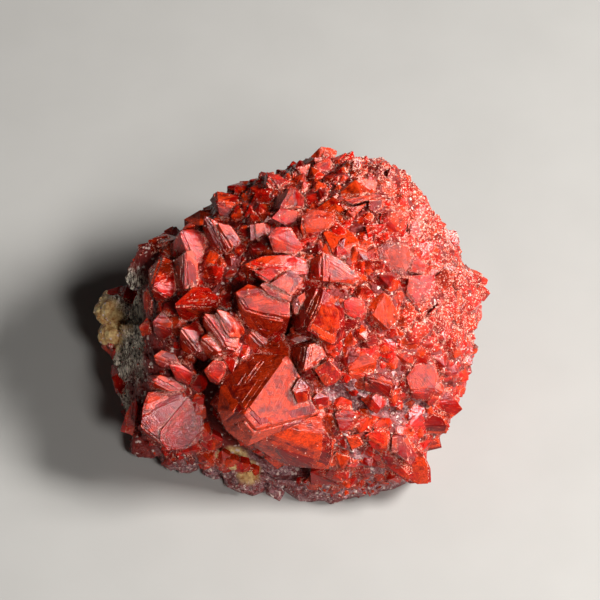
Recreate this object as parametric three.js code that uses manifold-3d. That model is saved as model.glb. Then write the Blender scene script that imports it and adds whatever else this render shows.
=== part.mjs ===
// Hematoid quartz: a hand-sized druse of short red quartz points, grown together on a domed crust of
// granular quartz that was broken off its wall on the left and cut off flat underneath. It is one solid.
//
// Millimetres and degrees, +Z up. The crystal-covered face leans back: its own frame has u to the right,
// v up the slope and w straight out of the face, and most sizes below are given in that frame.
import * as THREE from "three";
import { ConvexGeometry } from "three/addons/geometries/ConvexGeometry.js";
import { mergeVertices } from "three/addons/utils/BufferGeometryUtils.js";
import Module from "manifold-3d";

const wasm = await Module();
wasm.setup();

// ---- the crust: driving dimensions ----
const FACE_ELEVATION = 55; // how steeply the middle of the face looks up from the ground
const FACE_HEIGHT = 18; // the face's middle stands this far above the ground
const PEAK = [10, 6]; // the dome's highest place on the face, [u, v]
const DOME = 25; // the dome's height over its rim, towards w
const BELLY = 21; // how far the crust bulges behind its rim
const GRAIN = 0.055; // how much the crust's own surface goes in and out, as a share of its radius
const CRUST_DETAIL = 5; // how often the crust's twenty first faces are split
// The crust's radius round the peak, at every 15 degrees anticlockwise from +u.
const RIM = [
  27.3, 24, 24.2, 23.5, 25.8, 28.2, 27.4, 26.8, 27.2, 30, 32, 38.6, 44.8, 48, 49.4, 46, 41.2, 39.6, 41,
  39.6, 34.5, 30.8, 28.6, 26,
];

// The wall where the crust was broken off on the left: a point on it and the way it faces, [u, v, w]. Its
// upper part stands back behind a ledge.
const WALL_POINT = [-31, -5, 7];
const WALL_FACING = [-0.9, 0, 0.43];
const LEDGE_DEPTH = 1.6;
const LEDGE_ABOVE = 0; // the ledge lies at this v
// Breaks across the back: how far each is from the rim's middle, and the way it faces.
const BREAKS = [
  [25, [0.25, 0.93, -0.2]],
  [20.5, [-0.55, 0.62, -0.56]],
  [20, [0.62, 0.45, -0.64]],
];

// Gaps where the crust is bare and sunk between the crystals that lean over it: half width, depth, and the
// places [u, v] that each runs through.
const GAPS = [
  {
    halfWidth: 2.2,
    depth: 8,
    line: [
      [-17.4, -7],
      [-16.4, -13],
      [-16, -20],
      [-10.6, -25.6],
      [-3, -28.6],
      [5, -29],
    ],
  },
  {
    halfWidth: 1.2,
    depth: 5,
    line: [
      [-1.2, 3],
      [-0.8, -2],
      [0.6, -9],
    ],
  },
  {
    halfWidth: 1.8,
    depth: 2.4,
    line: [
      [5.4, -10],
      [10.4, -14.4],
      [16.4, -17],
      [22, -18],
      [26.4, -15.6],
    ],
  },
];
const CUTTER_ABOVE = 12; // a gap's cutter reaches this far over the crust

// Rounded lumps of granular quartz along the lower rim, then on the wall: middle [u, v, w] and radius.
const LUMPS = [
  [-28.4, -23.2, -1, 3.8],
  [-22.4, -25.4, -0.6, 4.6],
  [-15.4, -27.4, -1.6, 3.8],
  [-9.4, -29.8, -0.4, 5],
  [-2.4, -31.8, -1.8, 4],
  [2.8, -32.4, -0.4, 4.8],
  [9.2, -33.2, -1.2, 4.6],
  [-35.8, 2.8, -4, 3.6],
  [-36.2, -1.6, -4.6, 3.4],
];

// ---- the crystals: driving dimensions ----
// Broad crystals, each by its corners: [u, v, height over the crust under their middle].
const BROAD_CRYSTALS = [
  // the shoulder over the broken wall
  [
    [-33, 8.6, 1], [-32.4, 11.4, 0.6], [-30.4, 14.8, 0.2], [-28.2, 16.2, 0], [-23.8, 17.4, 0.6],
    [-23.4, 12.6, 2.8], [-28.2, 8.2, 2.8], [-31.6, 7.2, 1.8],
  ],
  // left edge
  [
    [-27.2, 7.6, 5], [-23, 9, 3.4], [-22.6, 6.6, 3], [-23.8, 5.4, 3.2], [-23.4, 12.6, 0],
    [-25.6, 13.6, -1.4], [-28.2, 11, -1.5], [-28, 7, 0], [-26.6, 4.8, -0.5], [-25, 4.2, -0.3],
  ],
  [[-28.6, 7.8, 1.6], [-27.4, 5, 2.4], [-27.2, 1, 2.2], [-28.6, 0.8, 0.8], [-29.2, 5, 0.2]],
  [
    [-22, 18.2, 4.2], [-19.6, 17.2, 3.2], [-20, 14.8, 3.2], [-18.6, 11.4, 2.8], [-20.6, 14.2, 3.4],
    [-23.4, 16.4, -0.4], [-23.4, 13.4, -0.6], [-15.6, 15, 1.2], [-15.8, 17, 0.8], [-18.6, 18.6, 1],
  ],
  [
    [-20.6, 14.2, 4.4], [-20.8, 7, 3.6], [-18.4, 11.8, 3.6], [-18.2, 7, 2.6], [-23.2, 12.6, -1],
    [-22.8, 6.6, -1.5], [-19.2, 14.6, 3],
  ],
  [
    [-22.8, 4, 3.6], [-16, 4.2, 4.4], [-14.2, 5, 4], [-16.2, 7.2, 2.2], [-19.2, 7.4, 1.8],
    [-17.2, 1, 0.2], [-21.6, 1.2, -0.6], [-14.4, 2.6, 2],
  ],
  [
    [-21.4, -0.6, 4.4], [-19.2, -0.8, 3.7], [-17.4, -5, 3.4], [-18, -5.2, 3.6], [-21.8, -2.6, 0.6],
    [-22, -4.4, -0.6], [-19, -6, 0], [-18.6, 0.8, 1.8], [-16.8, -1.4, 2.2],
  ],
  [
    [-17.6, -2.4, 4.6], [-15.2, -2.4, 3.9], [-13.6, -4.8, 3.6], [-14.4, -5.2, 3.9], [-17.8, -4.4, 0.6],
    [-15.8, -6.8, 0], [-13.4, -5.8, 1], [-15.6, -0.8, 2.4],
  ],
  [
    [-17, 2.2, 4.8], [-14.8, 2, 4.2], [-13.2, -1.4, 4], [-10.2, -2.6, 3.4], [-10.6, -4.4, 3.6],
    [-12.6, -4, 4.1], [-17.4, 0.2, 1], [-14.2, -4.8, 0], [-11.4, -5.8, 0],
  ],
  [
    [-14.6, 3, 5.6], [-12.8, 2.6, 5], [-11.2, -0.6, 4.7], [-10, -2.4, 4], [-12, -2.4, 4.6], [-14.8, 1, 2],
    [-12.6, -3, 1.5], [-9.2, -1, 2.2], [-10.6, 2.2, 3],
  ],
  [
    [-17.2, -8.8, 3.4], [-15.4, -6.8, 3.4], [-13.4, -7, 2.6], [-12.6, -8.6, 2], [-14.2, -11, 1.7],
    [-16, -11, 0.7],
  ],
  [[-30, -0.4, 3.6], [-28.4, 1.4, 3.6], [-27.2, 0.6, 2.8], [-27.6, -1.8, 2], [-29.4, -2.2, 2.2]],
  [
    [-27.2, 0.6, 3.6], [-25.4, 2.8, 3.4], [-23.2, 0.6, 2.8], [-23, -1.6, 1.8], [-25, -2.6, 0.6],
    [-27, -1.6, 1],
  ],
  [
    [-27, -6, 3.6], [-25.4, -4.8, 3.1], [-22.8, -5.6, 2.6], [-21.4, -8, 2], [-24.2, -8.6, 1.8],
    [-26.6, -7.6, 1.2],
  ],
  [[-24, -7.6, 3.4], [-21.4, -7.8, 2.6], [-19.2, -9.4, 2], [-20, -11.6, 1.4], [-22.6, -10.8, 1.2]],
  [
    [-27.2, -10.6, 4.2], [-25.6, -9.6, 3.4], [-23.4, -10.2, 3.2], [-20.8, -12.6, 2.6],
    [-23.6, -12.6, 3.3], [-28.4, -9.8, 0.5], [-28.2, -12.2, 0], [-24.6, -13.2, 0.2],
  ],
  // the block at the lower left, and the slab beside it
  [
    [-28.2, -13, 5.2], [-21.4, -12.6, 4.4], [-17.8, -15, 3.4], [-17.2, -20.2, 3.2], [-18.6, -23.2, 3.2],
    [-21, -24.2, 3.8], [-24.2, -24.4, 4.4], [-29.6, -19.8, 5.6], [-29.2, -16, 5.9], [-28.6, -21.2, 5],
  ],
  [
    [-20.6, -14.2, 5], [-18, -15.4, 4.4], [-18, -21, 4.2], [-21, -24, 4.7], [-24.4, -24.4, 5.2],
    [-25.8, -22.4, 5.8], [-25.8, -20.6, 6],
  ],
  [
    [-28.6, -22.6, 3.6], [-25.2, -23.6, 3.4], [-25, -25, 2.4], [-27, -26.2, 1], [-28.6, -25.2, 1],
    [-28.8, -23.2, 2.6],
  ],
  [
    [-30.8, -14.2, 6.2], [-30.4, -16.2, 6], [-31.2, -20.4, 5.4], [-31.6, -21.8, 3.6], [-33.8, -21, 2.4],
    [-33.2, -18.8, 3.4], [-31.8, -15.4, 5.2],
  ],
  // the largest crystal, at the bottom, and what grew beside it
  [
    [-9.4, -17, 9.5], [-7, -19.8, 8.7], [-1.4, -5.8, 8], [-0.4, -6.6, 7.7], [5.2, -16.8, 5.4],
    [-13.8, -8.8, 0.4], [-8.2, -5.4, 1.8], [-14.6, -16.6, 3.6], [-13, -20, 4.6], [-8.6, -23.2, 4.4],
  ],
  [
    [-7.2, -20.4, 8.1], [-1.8, -19, 7.3], [5, -17.4, 5], [8, -21, 3.4], [7.8, -25.4, 1.2],
    [7, -28.2, -1.6], [-1.6, -27.4, -1], [-7.6, -23.6, 2.6],
  ],
  [[-0.2, -12.4, 7.6], [1.2, -9.8, 6.8], [3.2, -11.8, 6], [3.2, -14.4, 5.4], [0.8, -15, 6.2]],
  [[3.6, -14.2, 5.6], [4.8, -12.8, 5], [7, -13.8, 4.2], [6.8, -15.8, 3.6], [4.4, -16.2, 4.6]],
  // middle: growths side by side that point left
  [
    [-11, 6.2, 6.4], [-8.6, 7.8, 5.6], [-5.8, 7, 5.6], [-0.6, 5.6, 4.6], [-0.6, 1.4, 4.2], [-4.6, 2, 5],
    [-9, 3.2, 5.9], [-10.4, 1.6, 1.2], [-8.2, -1.2, -0.6], [-5, -2.8, -1.4], [-1.4, -1.6, -0.4],
  ],
  [[-6.4, 7.6, 6.6], [-4.6, 8.4, 6.1], [-0.2, 5.8, 5.3], [-0.4, 4.4, 5.2], [-4.6, 5.8, 6.1]],
  [[-4.4, 7.8, 7], [-3, 9, 6.5], [-0.6, 10.6, 5.8], [2, 8.8, 5], [-0.2, 5.6, 5.8]],
  [
    [-7.4, 10.2, 5.8], [-4.2, 11.2, 5.1], [-0.6, 11, 4.8], [-0.2, 9, 4.6], [-4.6, 8.4, 5.6],
    [-7.2, 9, 2.6],
  ],
  [
    [-9.2, 11.6, 4.4], [-6.2, 13, 3.7], [-1, 13.4, 3.1], [2.6, 12.6, 2.4], [3.2, 10, 2.4],
    [-0.2, 10.4, 3.8], [-5.4, 10.6, 4.6], [-10.2, 10.6, 0], [-8.6, 9.2, 0.6],
  ],
  // middle: points hanging down the slope
  [
    [2.6, -1, 7.4], [5, 4.4, 6.8], [5.8, 6.8, 5.4], [7.6, 5.4, 4.9], [9.8, 2.6, 3.8], [10, -2.2, 3.2],
    [8, -4, 4.4], [3.8, 7.6, 2.6], [1.4, 5, 1.8], [0.6, 1.4, 1.4], [0.8, -1.6, 2.4],
  ],
  [[0, 4.8, 3.8], [2.2, 6.4, 3.6], [2.6, 3.4, 3.2], [0.8, 2, 3.4], [-0.2, 2.4, 3]],
  [
    [2.2, -8.8, 6.6], [3, -3.8, 6], [5, -3, 5], [6.4, -5.8, 4.4], [3.8, -8, 5.7], [-0.2, -3.6, 0.8],
    [0, -7, 1.4], [1.4, -9.2, 2.6],
  ],
  [[4, -8.4, 3.4], [6.8, -6.6, 4.4], [9.8, -9.4, 1.4], [6.4, -12, 0.4], [8.2, -11.2, 0.6]],
  // upper left
  [
    [-17.2, 21.2, 3.2], [-14.8, 20.2, 2.6], [-12.2, 15, 2.3], [-12.4, 12.6, 2.1], [-14.6, 15.8, 2.5],
    [-17.6, 18.6, 0.2], [-15.4, 14.6, 0.3],
  ],
  [
    [-14.4, 19.8, 3.4], [-12, 19.2, 2.8], [-10, 16.4, 2.4], [-11.8, 15.2, 2.7], [-14.4, 17.4, 1],
    [-12.4, 13, 0.6],
  ],
  [
    [-15, 24, 3], [-11.4, 23.2, 2.7], [-8.8, 21.8, 2.2], [-11.4, 20.4, 2.1], [-14.4, 21.6, 2.5],
    [-16.4, 24.6, 0.6], [-15.2, 26.2, 0], [-10.6, 25, 0.6],
  ],
  [[-8.4, 19.4, 2.7], [-5.6, 19.8, 2.2], [-5.2, 17.4, 2], [-8.2, 16.2, 2.3]],
  [
    [-5, 28.4, 3], [-1.4, 27.6, 2.4], [-3.4, 26.2, 2.5], [-5.4, 29.8, 1.2], [-0.4, 28.2, 0.9],
    [-6, 27, 0.3], [-4.2, 25.2, 0.3],
  ],
  [
    [-0.2, 26.8, 3.8], [0.4, 22.8, 3.2], [-2.2, 22.6, 3.4], [-4, 22.2, 0.4], [-3.2, 24.8, 0.6],
    [2.2, 25, 1.1], [2.2, 22.6, 1.1],
  ],
  [[-4.2, 20.6, 2.9], [-2.4, 22.6, 2.7], [0.6, 22, 2.1], [1, 20.2, 1.8], [-1.4, 19.2, 2.1]],
  [[-4.8, 17, 3.8], [-3.2, 18.8, 3.3], [-0.4, 18.8, 2.8], [2, 14.6, 2], [0.6, 13.6, 2], [-3.8, 14, 2.7]],
  [
    [1.6, 21, 2.4], [3.8, 22.4, 1.8], [8.2, 21.6, 1.4], [5.8, 18.8, 2], [1.4, 18.6, 2.4],
    [2.4, 15.6, 0.9], [8.2, 15.6, 0.4],
  ],
  [
    [5.6, 13.8, 3.2], [5.8, 8.4, 2.6], [8.6, 12.8, 2.4], [12.8, 9.2, 1.4], [11.6, 7.8, 1.2],
    [3.4, 12.6, 0.4], [3.2, 8.8, 0.3],
  ],
  [[9.6, 4.6, 2.4], [11.4, 5.4, 2], [13.6, 4.6, 1.6], [14, 2.6, 1.2], [11.8, 1.2, 1.2], [9.8, 2.2, 1.7]],
  // along the top
  [
    [5.6, 35.6, 2], [6.6, 35.4, 1.9], [8.4, 33.4, 1.7], [5.8, 31.8, 1.8], [3.4, 33.4, 0.8],
    [8.6, 34.6, 0],
  ],
  [[0.4, 31, 2.4], [3.4, 31.8, 2], [3.2, 29, 1.7], [1.4, 29.4, 2]],
  [[4, 31.4, 2.2], [7.4, 33.4, 1.8], [7.4, 30.6, 2], [4.4, 28.8, 2.1]],
  [[11.8, 32.6, 3.2], [13.2, 33, 2.7], [13.6, 29.8, 2.5], [11.4, 29.4, 2.8], [9.4, 30.8, 0.9]],
  [
    [17.4, 31.2, 3.2], [18, 31, 2.9], [17.2, 27.8, 2.6], [16.2, 29.6, 3], [14.6, 30.6, 1.2],
    [13.8, 31.4, 0.9],
  ],
  [[19, 31, 2.8], [19.6, 29.4, 2.5], [19.2, 27.4, 2.4], [18.4, 29, 2.7]],
  [[10.4, 22.4, 3], [14.2, 23.4, 2.4], [11.8, 20.8, 2.5], [10, 21.2, 1]],
  [[14.6, 24.2, 2.9], [17.8, 24.4, 2.5], [17.4, 22.6, 2.2], [15.8, 21.6, 2.4], [14.6, 22.2, 2.7]],
  [
    [16.6, 20.4, 3.2], [17.2, 21.8, 2.8], [21, 22.2, 2.4], [22.6, 21.4, 2.1], [18, 20.6, 3],
    [17.4, 17, 1.4], [21.4, 17, 1.4],
  ],
  [[9.4, 24, 2.2], [16.4, 25.6, 1.8], [17.4, 24.8, 1.7], [11.4, 23.2, 2.1]],
  [
    [11.2, 35, 2], [15.6, 36.4, 1.5], [19.4, 33.8, 1.2], [18.2, 31.8, 2], [13.4, 33, 2.2],
    [10.4, 33, 1.5],
  ],
  // right
  [
    [15.6, 14.6, 1.8], [18.4, 16.4, 2], [22.2, 15.8, 1.7], [23, 12.6, 1.2], [21.6, 9.4, 0.9],
    [17.4, 10.8, 1.2],
  ],
  [[22.4, 20.4, 2.2], [24.8, 20.8, 1.8], [24.6, 17, 2], [22.2, 16.6, 2.3]],
  [[22.4, 12.6, 2.7], [23.8, 13.4, 2.5], [25.8, 11.4, 2.2], [25.2, 9.8, 2], [22.2, 10.2, 2.4]],
  [[13.8, 19.2, 2.4], [17.6, 19.4, 2.2], [17, 18, 2.4], [14.4, 16.6, 2.4]],
  [
    [22.2, 9.4, 3.2], [27.2, 9.8, 2.6], [27.4, 6.8, 2.5], [26.2, 4.4, 2.2], [23.4, 3.8, 2.5],
    [21.6, 5.8, 2.8],
  ],
  [[29.8, 11.2, 3.3], [31, 8.2, 2.7], [29.4, 5.6, 0.8], [27.6, 6.6, 0.9], [27.4, 9.2, 1.8]],
  [[26.2, 2.2, 2.7], [28.6, 4.4, 2.4], [29, 3, 2.1], [27, 1.8, 2.4]],
  [[31.6, 9.6, 3], [32.8, 8.8, 2.5], [32.8, 7, 2.2], [31.6, 7, 2.7], [30.6, 8.2, 1.1]],
  [
    [38.8, 9.2, 1.8], [35.4, 11.2, 1.8], [31.8, 12.4, 2], [33, 9.8, 2.7], [35.8, 7.4, 2.2],
    [38.4, 7.8, 1.4],
  ],
  [[39.4, 6.4, 1.4], [37.2, 8.2, 2], [35, 6.6, 2.5], [36.2, 4.8, 2], [38.2, 4.8, 1]],
  [[34.6, 4, 2.7], [37.4, 4.2, 1.2], [37.8, 2.2, 0.9], [37, 0.2, 0.6], [34.6, -1, 1.7]],
  [[29.4, 19, 2.2], [32.4, 18.6, 1.5], [33, 16.2, 1.2], [31.4, 14.6, 2], [29.4, 16.2, 2.2]],
  // lower right
  [
    [23.6, -7.4, 3.4], [27, -6.8, 2.8], [28.2, -9.8, 2.3], [27.6, -12.8, 2.2], [22.6, -12.6, 3],
    [21.8, -10, 3.2], [26.6, -14.8, 0.4], [23, -14.2, 0.9],
  ],
  [[13.8, -9.6, 2.8], [18.4, -9.2, 2.2], [19.8, -11.4, 1.8], [19, -14.2, 0.6], [13.8, -12.6, 0.9]],
  [
    [19.2, -21.4, 5.4], [21.8, -21.2, 4.9], [25.6, -25, 3.4], [27, -28.2, 2], [27.2, -31, 0],
    [23, -31.2, 0.2], [17.4, -27.8, 2.6], [17, -25.4, 4.4],
  ],
  [[19.2, -21.4, 5.9], [21.8, -21.2, 5.3], [24, -25.4, 4.4], [23, -27.4, 4.5], [19, -24.4, 5.7]],
  [[17.2, -25.4, 4.8], [19.6, -25.4, 4.9], [23.2, -29.4, 3.6], [22.4, -30.8, 2.6], [18.4, -27.6, 4]],
  [
    [23.6, -19.6, 3.4], [26.8, -16.8, 3.3], [29.6, -17.8, 2.2], [30.6, -20, 1.4], [30.2, -21.4, 0.3],
    [25.4, -21.2, 1],
  ],
  [
    [27, -15, 3.4], [29.6, -12, 2.7], [31.8, -14.4, 1.8], [33.4, -16.6, 0.6], [31, -18.6, 0.3],
    [27.8, -17.4, 1.8],
  ],
  [[25.2, -22.2, 3.2], [28.8, -21.2, 2], [29.6, -24.4, 0.8], [26.2, -25.2, 1]],
  [[8, -17, 2.7], [10.4, -15.8, 2.4], [13.2, -17.4, 1.8], [11.4, -20.2, 1.4], [9, -20.6, 1.7]],
  [[13.8, -21.4, 2.5], [16.2, -20, 2.4], [18.8, -20.6, 1.8], [18.8, -24.2, 0.8], [15.8, -24.2, 0.8]],
  [[10.2, -21.6, 2], [12.6, -21, 1.8], [13.8, -23, 0.9], [11.4, -24.2, 0.6]],
];
const BROAD_ROOT = 2; // how far a broad crystal's root is sunk in the crust
const ROOT_SHRINK = 0.3; // the root's corners are drawn in by this share
const BROAD_ROOM = 0.95; // a broad crystal's radius, as a share of its corners' mean distance

// Small six-sided points fill the crust between those, and stand on its sides and back.
const SPOTS_TRIED = 500;
const SMALL_RADIUS = [2.2, 4.2];
const SMALL_HEIGHT = [0.4, 0.75]; // in radii
const SMALL_SUNK = 0.2; // their lower edges lie this many radii under the crust
const SMALL_ROOT = 1.6; // and their roots this much deeper
const JITTER = 0.22; // how far a small crystal leans off the crust's normal, as a tangent
const LOWEST_CRYSTAL = 10; // no small crystal grows lower than this above the ground
const CLEAR_OF_WALL = 1;
// Neighbours' axes keep this many radii apart: of the one that stands, and of the new one.
const SPACING = [0.8, 0.75];

// ---- frames and small helpers ----
const leanBack = THREE.MathUtils.degToRad(90 - FACE_ELEVATION);
const FACE = new THREE.Matrix4().makeRotationX(leanBack).setPosition(0, 0, FACE_HEIGHT);
const OUT_OF_FACE = new THREE.Vector3(0, 0, 1);

// A repeatable stream of numbers from 0 to 1.
function numbersFrom(seed) {
  let state = 1 + ((seed * 7919) % 2147483646);
  return () => {
    state = (state * 16807) % 2147483647;
    return state / 2147483647;
  };
}

// A geometry as a solid that can be joined and cut.
function solid(geometry) {
  const bare = new THREE.BufferGeometry().setAttribute("position", geometry.getAttribute("position"));
  if (geometry.index) bare.setIndex(geometry.index);
  const merged = mergeVertices(bare, 1e-4);
  return new wasm.Manifold(
    new wasm.Mesh({
      numProp: 3,
      vertProperties: new Float32Array(merged.attributes.position.array),
      triVerts: new Uint32Array(merged.index.array),
    }),
  );
}

// The same, for a geometry made in the face's frame.
const onFace = (geometry) => solid(geometry.applyMatrix4(FACE));
const union = (solids) => wasm.Manifold.union(solids);

// ---- the crust ----
function rimRadius(angle) {
  const turn = (angle / (2 * Math.PI) + 1) * RIM.length;
  const before = Math.floor(turn);
  return THREE.MathUtils.lerp(RIM[before % RIM.length], RIM[(before + 1) % RIM.length], turn - before);
}

// The crust's half sizes along u, v and w in a direction from the rim's middle.
function crustRadii(direction) {
  const radius = rimRadius(Math.atan2(direction.y, direction.x));
  return new THREE.Vector3(radius, radius, direction.z > 0 ? DOME : BELLY);
}

function onCrust(direction) {
  return direction.clone().multiply(crustRadii(direction)).add(new THREE.Vector3(...PEAK, 0));
}

function crustNormal(direction) {
  return direction.clone().divide(crustRadii(direction)).normalize();
}

// The crust's height over the rim at a place on the face.
function crustHeight(u, v) {
  const [du, dv] = [u - PEAK[0], v - PEAK[1]];
  const share = Math.hypot(du, dv) / rimRadius(Math.atan2(dv, du));
  return DOME * Math.sqrt(Math.max(0, 1 - share * share));
}

function crustBody() {
  const ball = new THREE.IcosahedronGeometry(1, CRUST_DETAIL).deleteAttribute("normal").deleteAttribute("uv");
  const geometry = mergeVertices(ball);
  const position = geometry.getAttribute("position");
  const random = numbersFrom(5);
  const direction = new THREE.Vector3();
  for (let i = 0; i < position.count; i++) {
    const point = onCrust(direction.fromBufferAttribute(position, i).normalize());
    point.multiplyScalar(1 + GRAIN * (random() - 0.5));
    position.setXYZ(i, ...point.toArray());
  }
  return onFace(geometry);
}

// A thick block whose flat front passes through a point and faces the other way from its bulk.
function blockBeyond(point, facing) {
  const block = new THREE.BoxGeometry(140, 140, 60).translate(0, 0, 30);
  block.applyQuaternion(new THREE.Quaternion().setFromUnitVectors(OUT_OF_FACE, facing));
  return block.translate(...point.toArray());
}

// The wall's lower part is cut by a block that ends at the ledge, its upper part by one set back.
function brokenWall() {
  const facing = new THREE.Vector3(...WALL_FACING).normalize();
  const point = new THREE.Vector3(...WALL_POINT);
  const upper = point.clone().addScaledVector(facing, -LEDGE_DEPTH).setY(LEDGE_ABOVE + 70);
  return [blockBeyond(point, facing), blockBeyond(upper, facing)].map(onFace);
}

function brokenBack() {
  return BREAKS.map(([distance, way]) => {
    const facing = new THREE.Vector3(...way).normalize();
    const point = new THREE.Vector3(...PEAK, 0).addScaledVector(facing, distance);
    return onFace(blockBeyond(point, facing));
  });
}

// Each stretch of a gap is cut by the hull of a small ball on the gap's floor and the same ball high above
// the crust, at both of its ends.
function gapCutters() {
  return GAPS.flatMap(({ halfWidth, depth, line }) => {
    const ball = new THREE.IcosahedronGeometry(halfWidth).getAttribute("position");
    const ends = line.map(([u, v]) => {
      const floor = crustHeight(u, v) - depth + halfWidth;
      return [floor, floor + depth + CUTTER_ABOVE].flatMap((w) =>
        Array.from({ length: ball.count }, (_, i) =>
          new THREE.Vector3().fromBufferAttribute(ball, i).add(new THREE.Vector3(u, v, w)),
        ),
      );
    });
    return line.slice(1).map((_, i) => onFace(new ConvexGeometry([...ends[i], ...ends[i + 1]])));
  });
}

function lumps() {
  return LUMPS.map(([u, v, w, radius], i) => {
    const lump = new THREE.DodecahedronGeometry(radius).rotateX(i).rotateY(1.7 * i);
    return onFace(lump.scale(1, 0.85, 1.1).translate(u, v, w));
  });
}

// ---- crystals ----
// A broad crystal: where it stands, the room it takes up, and its shape, a hull of its corners and a root.
function broadCrystal(corners) {
  const mean = (axis) => corners.reduce((sum, corner) => sum + corner[axis], 0) / corners.length;
  const root = new THREE.Vector3(mean(0), mean(1), crustHeight(mean(0), mean(1)));
  const points = corners.map(([u, v, height]) => new THREE.Vector3(u, v, root.z + height));
  const sunk = points.map((point) => {
    const place = point.clone().lerp(root, ROOT_SHRINK);
    return place.setZ(crustHeight(place.x, place.y) - BROAD_ROOT);
  });
  const away = corners.map(([u, v]) => Math.hypot(u - root.x, v - root.y));
  return {
    root,
    axis: OUT_OF_FACE,
    radius: (BROAD_ROOM * away.reduce((sum, distance) => sum + distance)) / away.length,
    height: Math.max(0.5, ...corners.map((corner) => corner[2])),
    shape: new ConvexGeometry([...points, ...sunk]),
  };
}

// A small crystal on the crust, pointing along +Z: six uneven sides and a sunk root.
function smallShape(radius, height, seed) {
  const random = numbersFrom(seed);
  const points = [];
  for (let side = 0; side < 6; side++) {
    const reach = radius * (0.8 + 0.35 * random());
    const [x, y] = [reach * Math.cos((side * Math.PI) / 3), reach * Math.sin((side * Math.PI) / 3)];
    const z = -SMALL_SUNK * radius;
    points.push(new THREE.Vector3(x, y, z), new THREE.Vector3(0.7 * x, 0.7 * y, z - SMALL_ROOT));
  }
  const [x, y] = [0, 1].map(() => radius * 0.45 * (2 * random() - 1));
  points.push(new THREE.Vector3(x, y, height));
  return new ConvexGeometry(points);
}

// Where a small crystal stands: +Z along it, +X on the side that faces out of the crust's face.
function crystalFrame(root, axis, turn) {
  const x = OUT_OF_FACE.clone().addScaledVector(axis, -axis.z).normalize();
  const y = new THREE.Vector3().crossVectors(axis, x);
  const twist = new THREE.Matrix4().makeRotationZ(THREE.MathUtils.degToRad(turn));
  return new THREE.Matrix4().makeBasis(x, y, axis).setPosition(root).multiply(twist);
}

// Directions spread evenly over a sphere.
function* evenDirections(count) {
  const golden = Math.PI * (3 - Math.sqrt(5));
  for (let i = 0; i < count; i++) {
    const z = 1 - (2 * i + 1) / count;
    const ring = Math.sqrt(1 - z * z);
    yield new THREE.Vector3(ring * Math.cos(golden * i), ring * Math.sin(golden * i), z);
  }
}

// How far a point is from a crystal's axis, between its root and its tip.
function distanceToStem(point, { root, axis, height }) {
  const along = THREE.MathUtils.clamp(point.clone().sub(root).dot(axis), 0, height);
  return point.distanceTo(root.clone().addScaledVector(axis, along));
}

// How far a place on the face is from the nearest gap's edge.
function distanceToGap({ x, y }) {
  const place = new THREE.Vector3(x, y, 0);
  const nearest = new THREE.Vector3();
  const distances = GAPS.flatMap(({ halfWidth, line }) =>
    line.slice(1).map((end, i) => {
      const stretch = new THREE.Line3(new THREE.Vector3(...line[i], 0), new THREE.Vector3(...end, 0));
      return stretch.closestPointToPoint(place, true, nearest).distanceTo(place) - halfWidth;
    }),
  );
  return Math.min(...distances);
}

// Whether a small crystal can stand: above the ground, clear of the wall and the gaps.
function hasGround(root, radius) {
  const fromWall = root.clone().sub(new THREE.Vector3(...WALL_POINT));
  if (fromWall.dot(new THREE.Vector3(...WALL_FACING)) > -CLEAR_OF_WALL) return false;
  if (root.clone().applyMatrix4(FACE).z < LOWEST_CRYSTAL) return false;
  return root.z < 0 || distanceToGap(root) > 0.6 * radius;
}

function smallCrystals(broad) {
  const random = numbersFrom(11);
  const between = ([low, high], share) => low + (high - low) * share;
  const standing = [...broad];
  for (const direction of evenDirections(SPOTS_TRIED)) {
    const root = onCrust(direction);
    const axis = crustNormal(direction);
    const radius = between(SMALL_RADIUS, random() * random());
    const height = radius * between(SMALL_HEIGHT, random());
    const sway = new THREE.Vector3(random(), random(), random()).subScalar(0.5);
    axis.addScaledVector(sway, 2 * JITTER).normalize();
    const turn = 60 * random();
    const crowds = (other) =>
      distanceToStem(root, other) < SPACING[0] * other.radius + SPACING[1] * radius;
    if (!hasGround(root, radius) || standing.some(crowds)) continue;
    standing.push({ root, axis, radius, height, turn });
  }
  return standing.slice(broad.length);
}

// ---- the whole ----
// The gaps are cut before the broad crystals are added, which lean out over them.
function joinAll() {
  const broad = BROAD_CRYSTALS.map(broadCrystal);
  const small = smallCrystals(broad).map(({ root, axis, radius, height, turn }, i) =>
    onFace(smallShape(radius, height, 1 + i).applyMatrix4(crystalFrame(root, axis, turn))),
  );
  const crust = crustBody().subtract(union([...brokenWall(), ...brokenBack()]));
  const gapped = union([crust, ...lumps(), ...small]).subtract(union(gapCutters()));
  const ground = solid(new THREE.BoxGeometry(200, 200, 60).translate(0, 0, -30));
  const joined = union([gapped, ...broad.map(({ shape }) => onFace(shape))]).subtract(ground);
  // Crystals that meet over a hollow seal it: only the outer skin is kept, so the quartz is solid inside.
  return joined.decompose().sort((a, b) => b.volume() - a.volume())[0];
}

const { vertProperties, triVerts } = joinAll().getMesh();
const geometry = new THREE.BufferGeometry()
  .setAttribute("position", new THREE.BufferAttribute(vertProperties, 3))
  .setIndex(new THREE.BufferAttribute(triVerts, 1));
geometry.computeBoundingBox();
const middle = geometry.boundingBox.getCenter(new THREE.Vector3());

const redQuartz = new THREE.MeshStandardMaterial({ color: 0xa31712, roughness: 0.22, metalness: 0 });
const cluster = new THREE.Mesh(geometry, redQuartz);
cluster.name = "quartz_cluster";

// The origin is under the middle of the whole, on the ground.
const group = new THREE.Group();
group.position.set(-middle.x, -middle.y, 0);
group.add(cluster);
export default group;
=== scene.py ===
# Hematoid quartz: a hand-sized cluster of short quartz crystals, red right through with hematite, on a domed
# crust of granular quartz. Metres in Blender; the numbers below are millimetres and degrees.
#
# The crystal-covered face leans back. Its own frame has u to the right, v up the slope and w straight out.
import math
from typing import NamedTuple

import bmesh
import bpy
import numpy as np
from mathutils import Matrix, Vector
from mathutils.bvhtree import BVHTree


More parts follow.
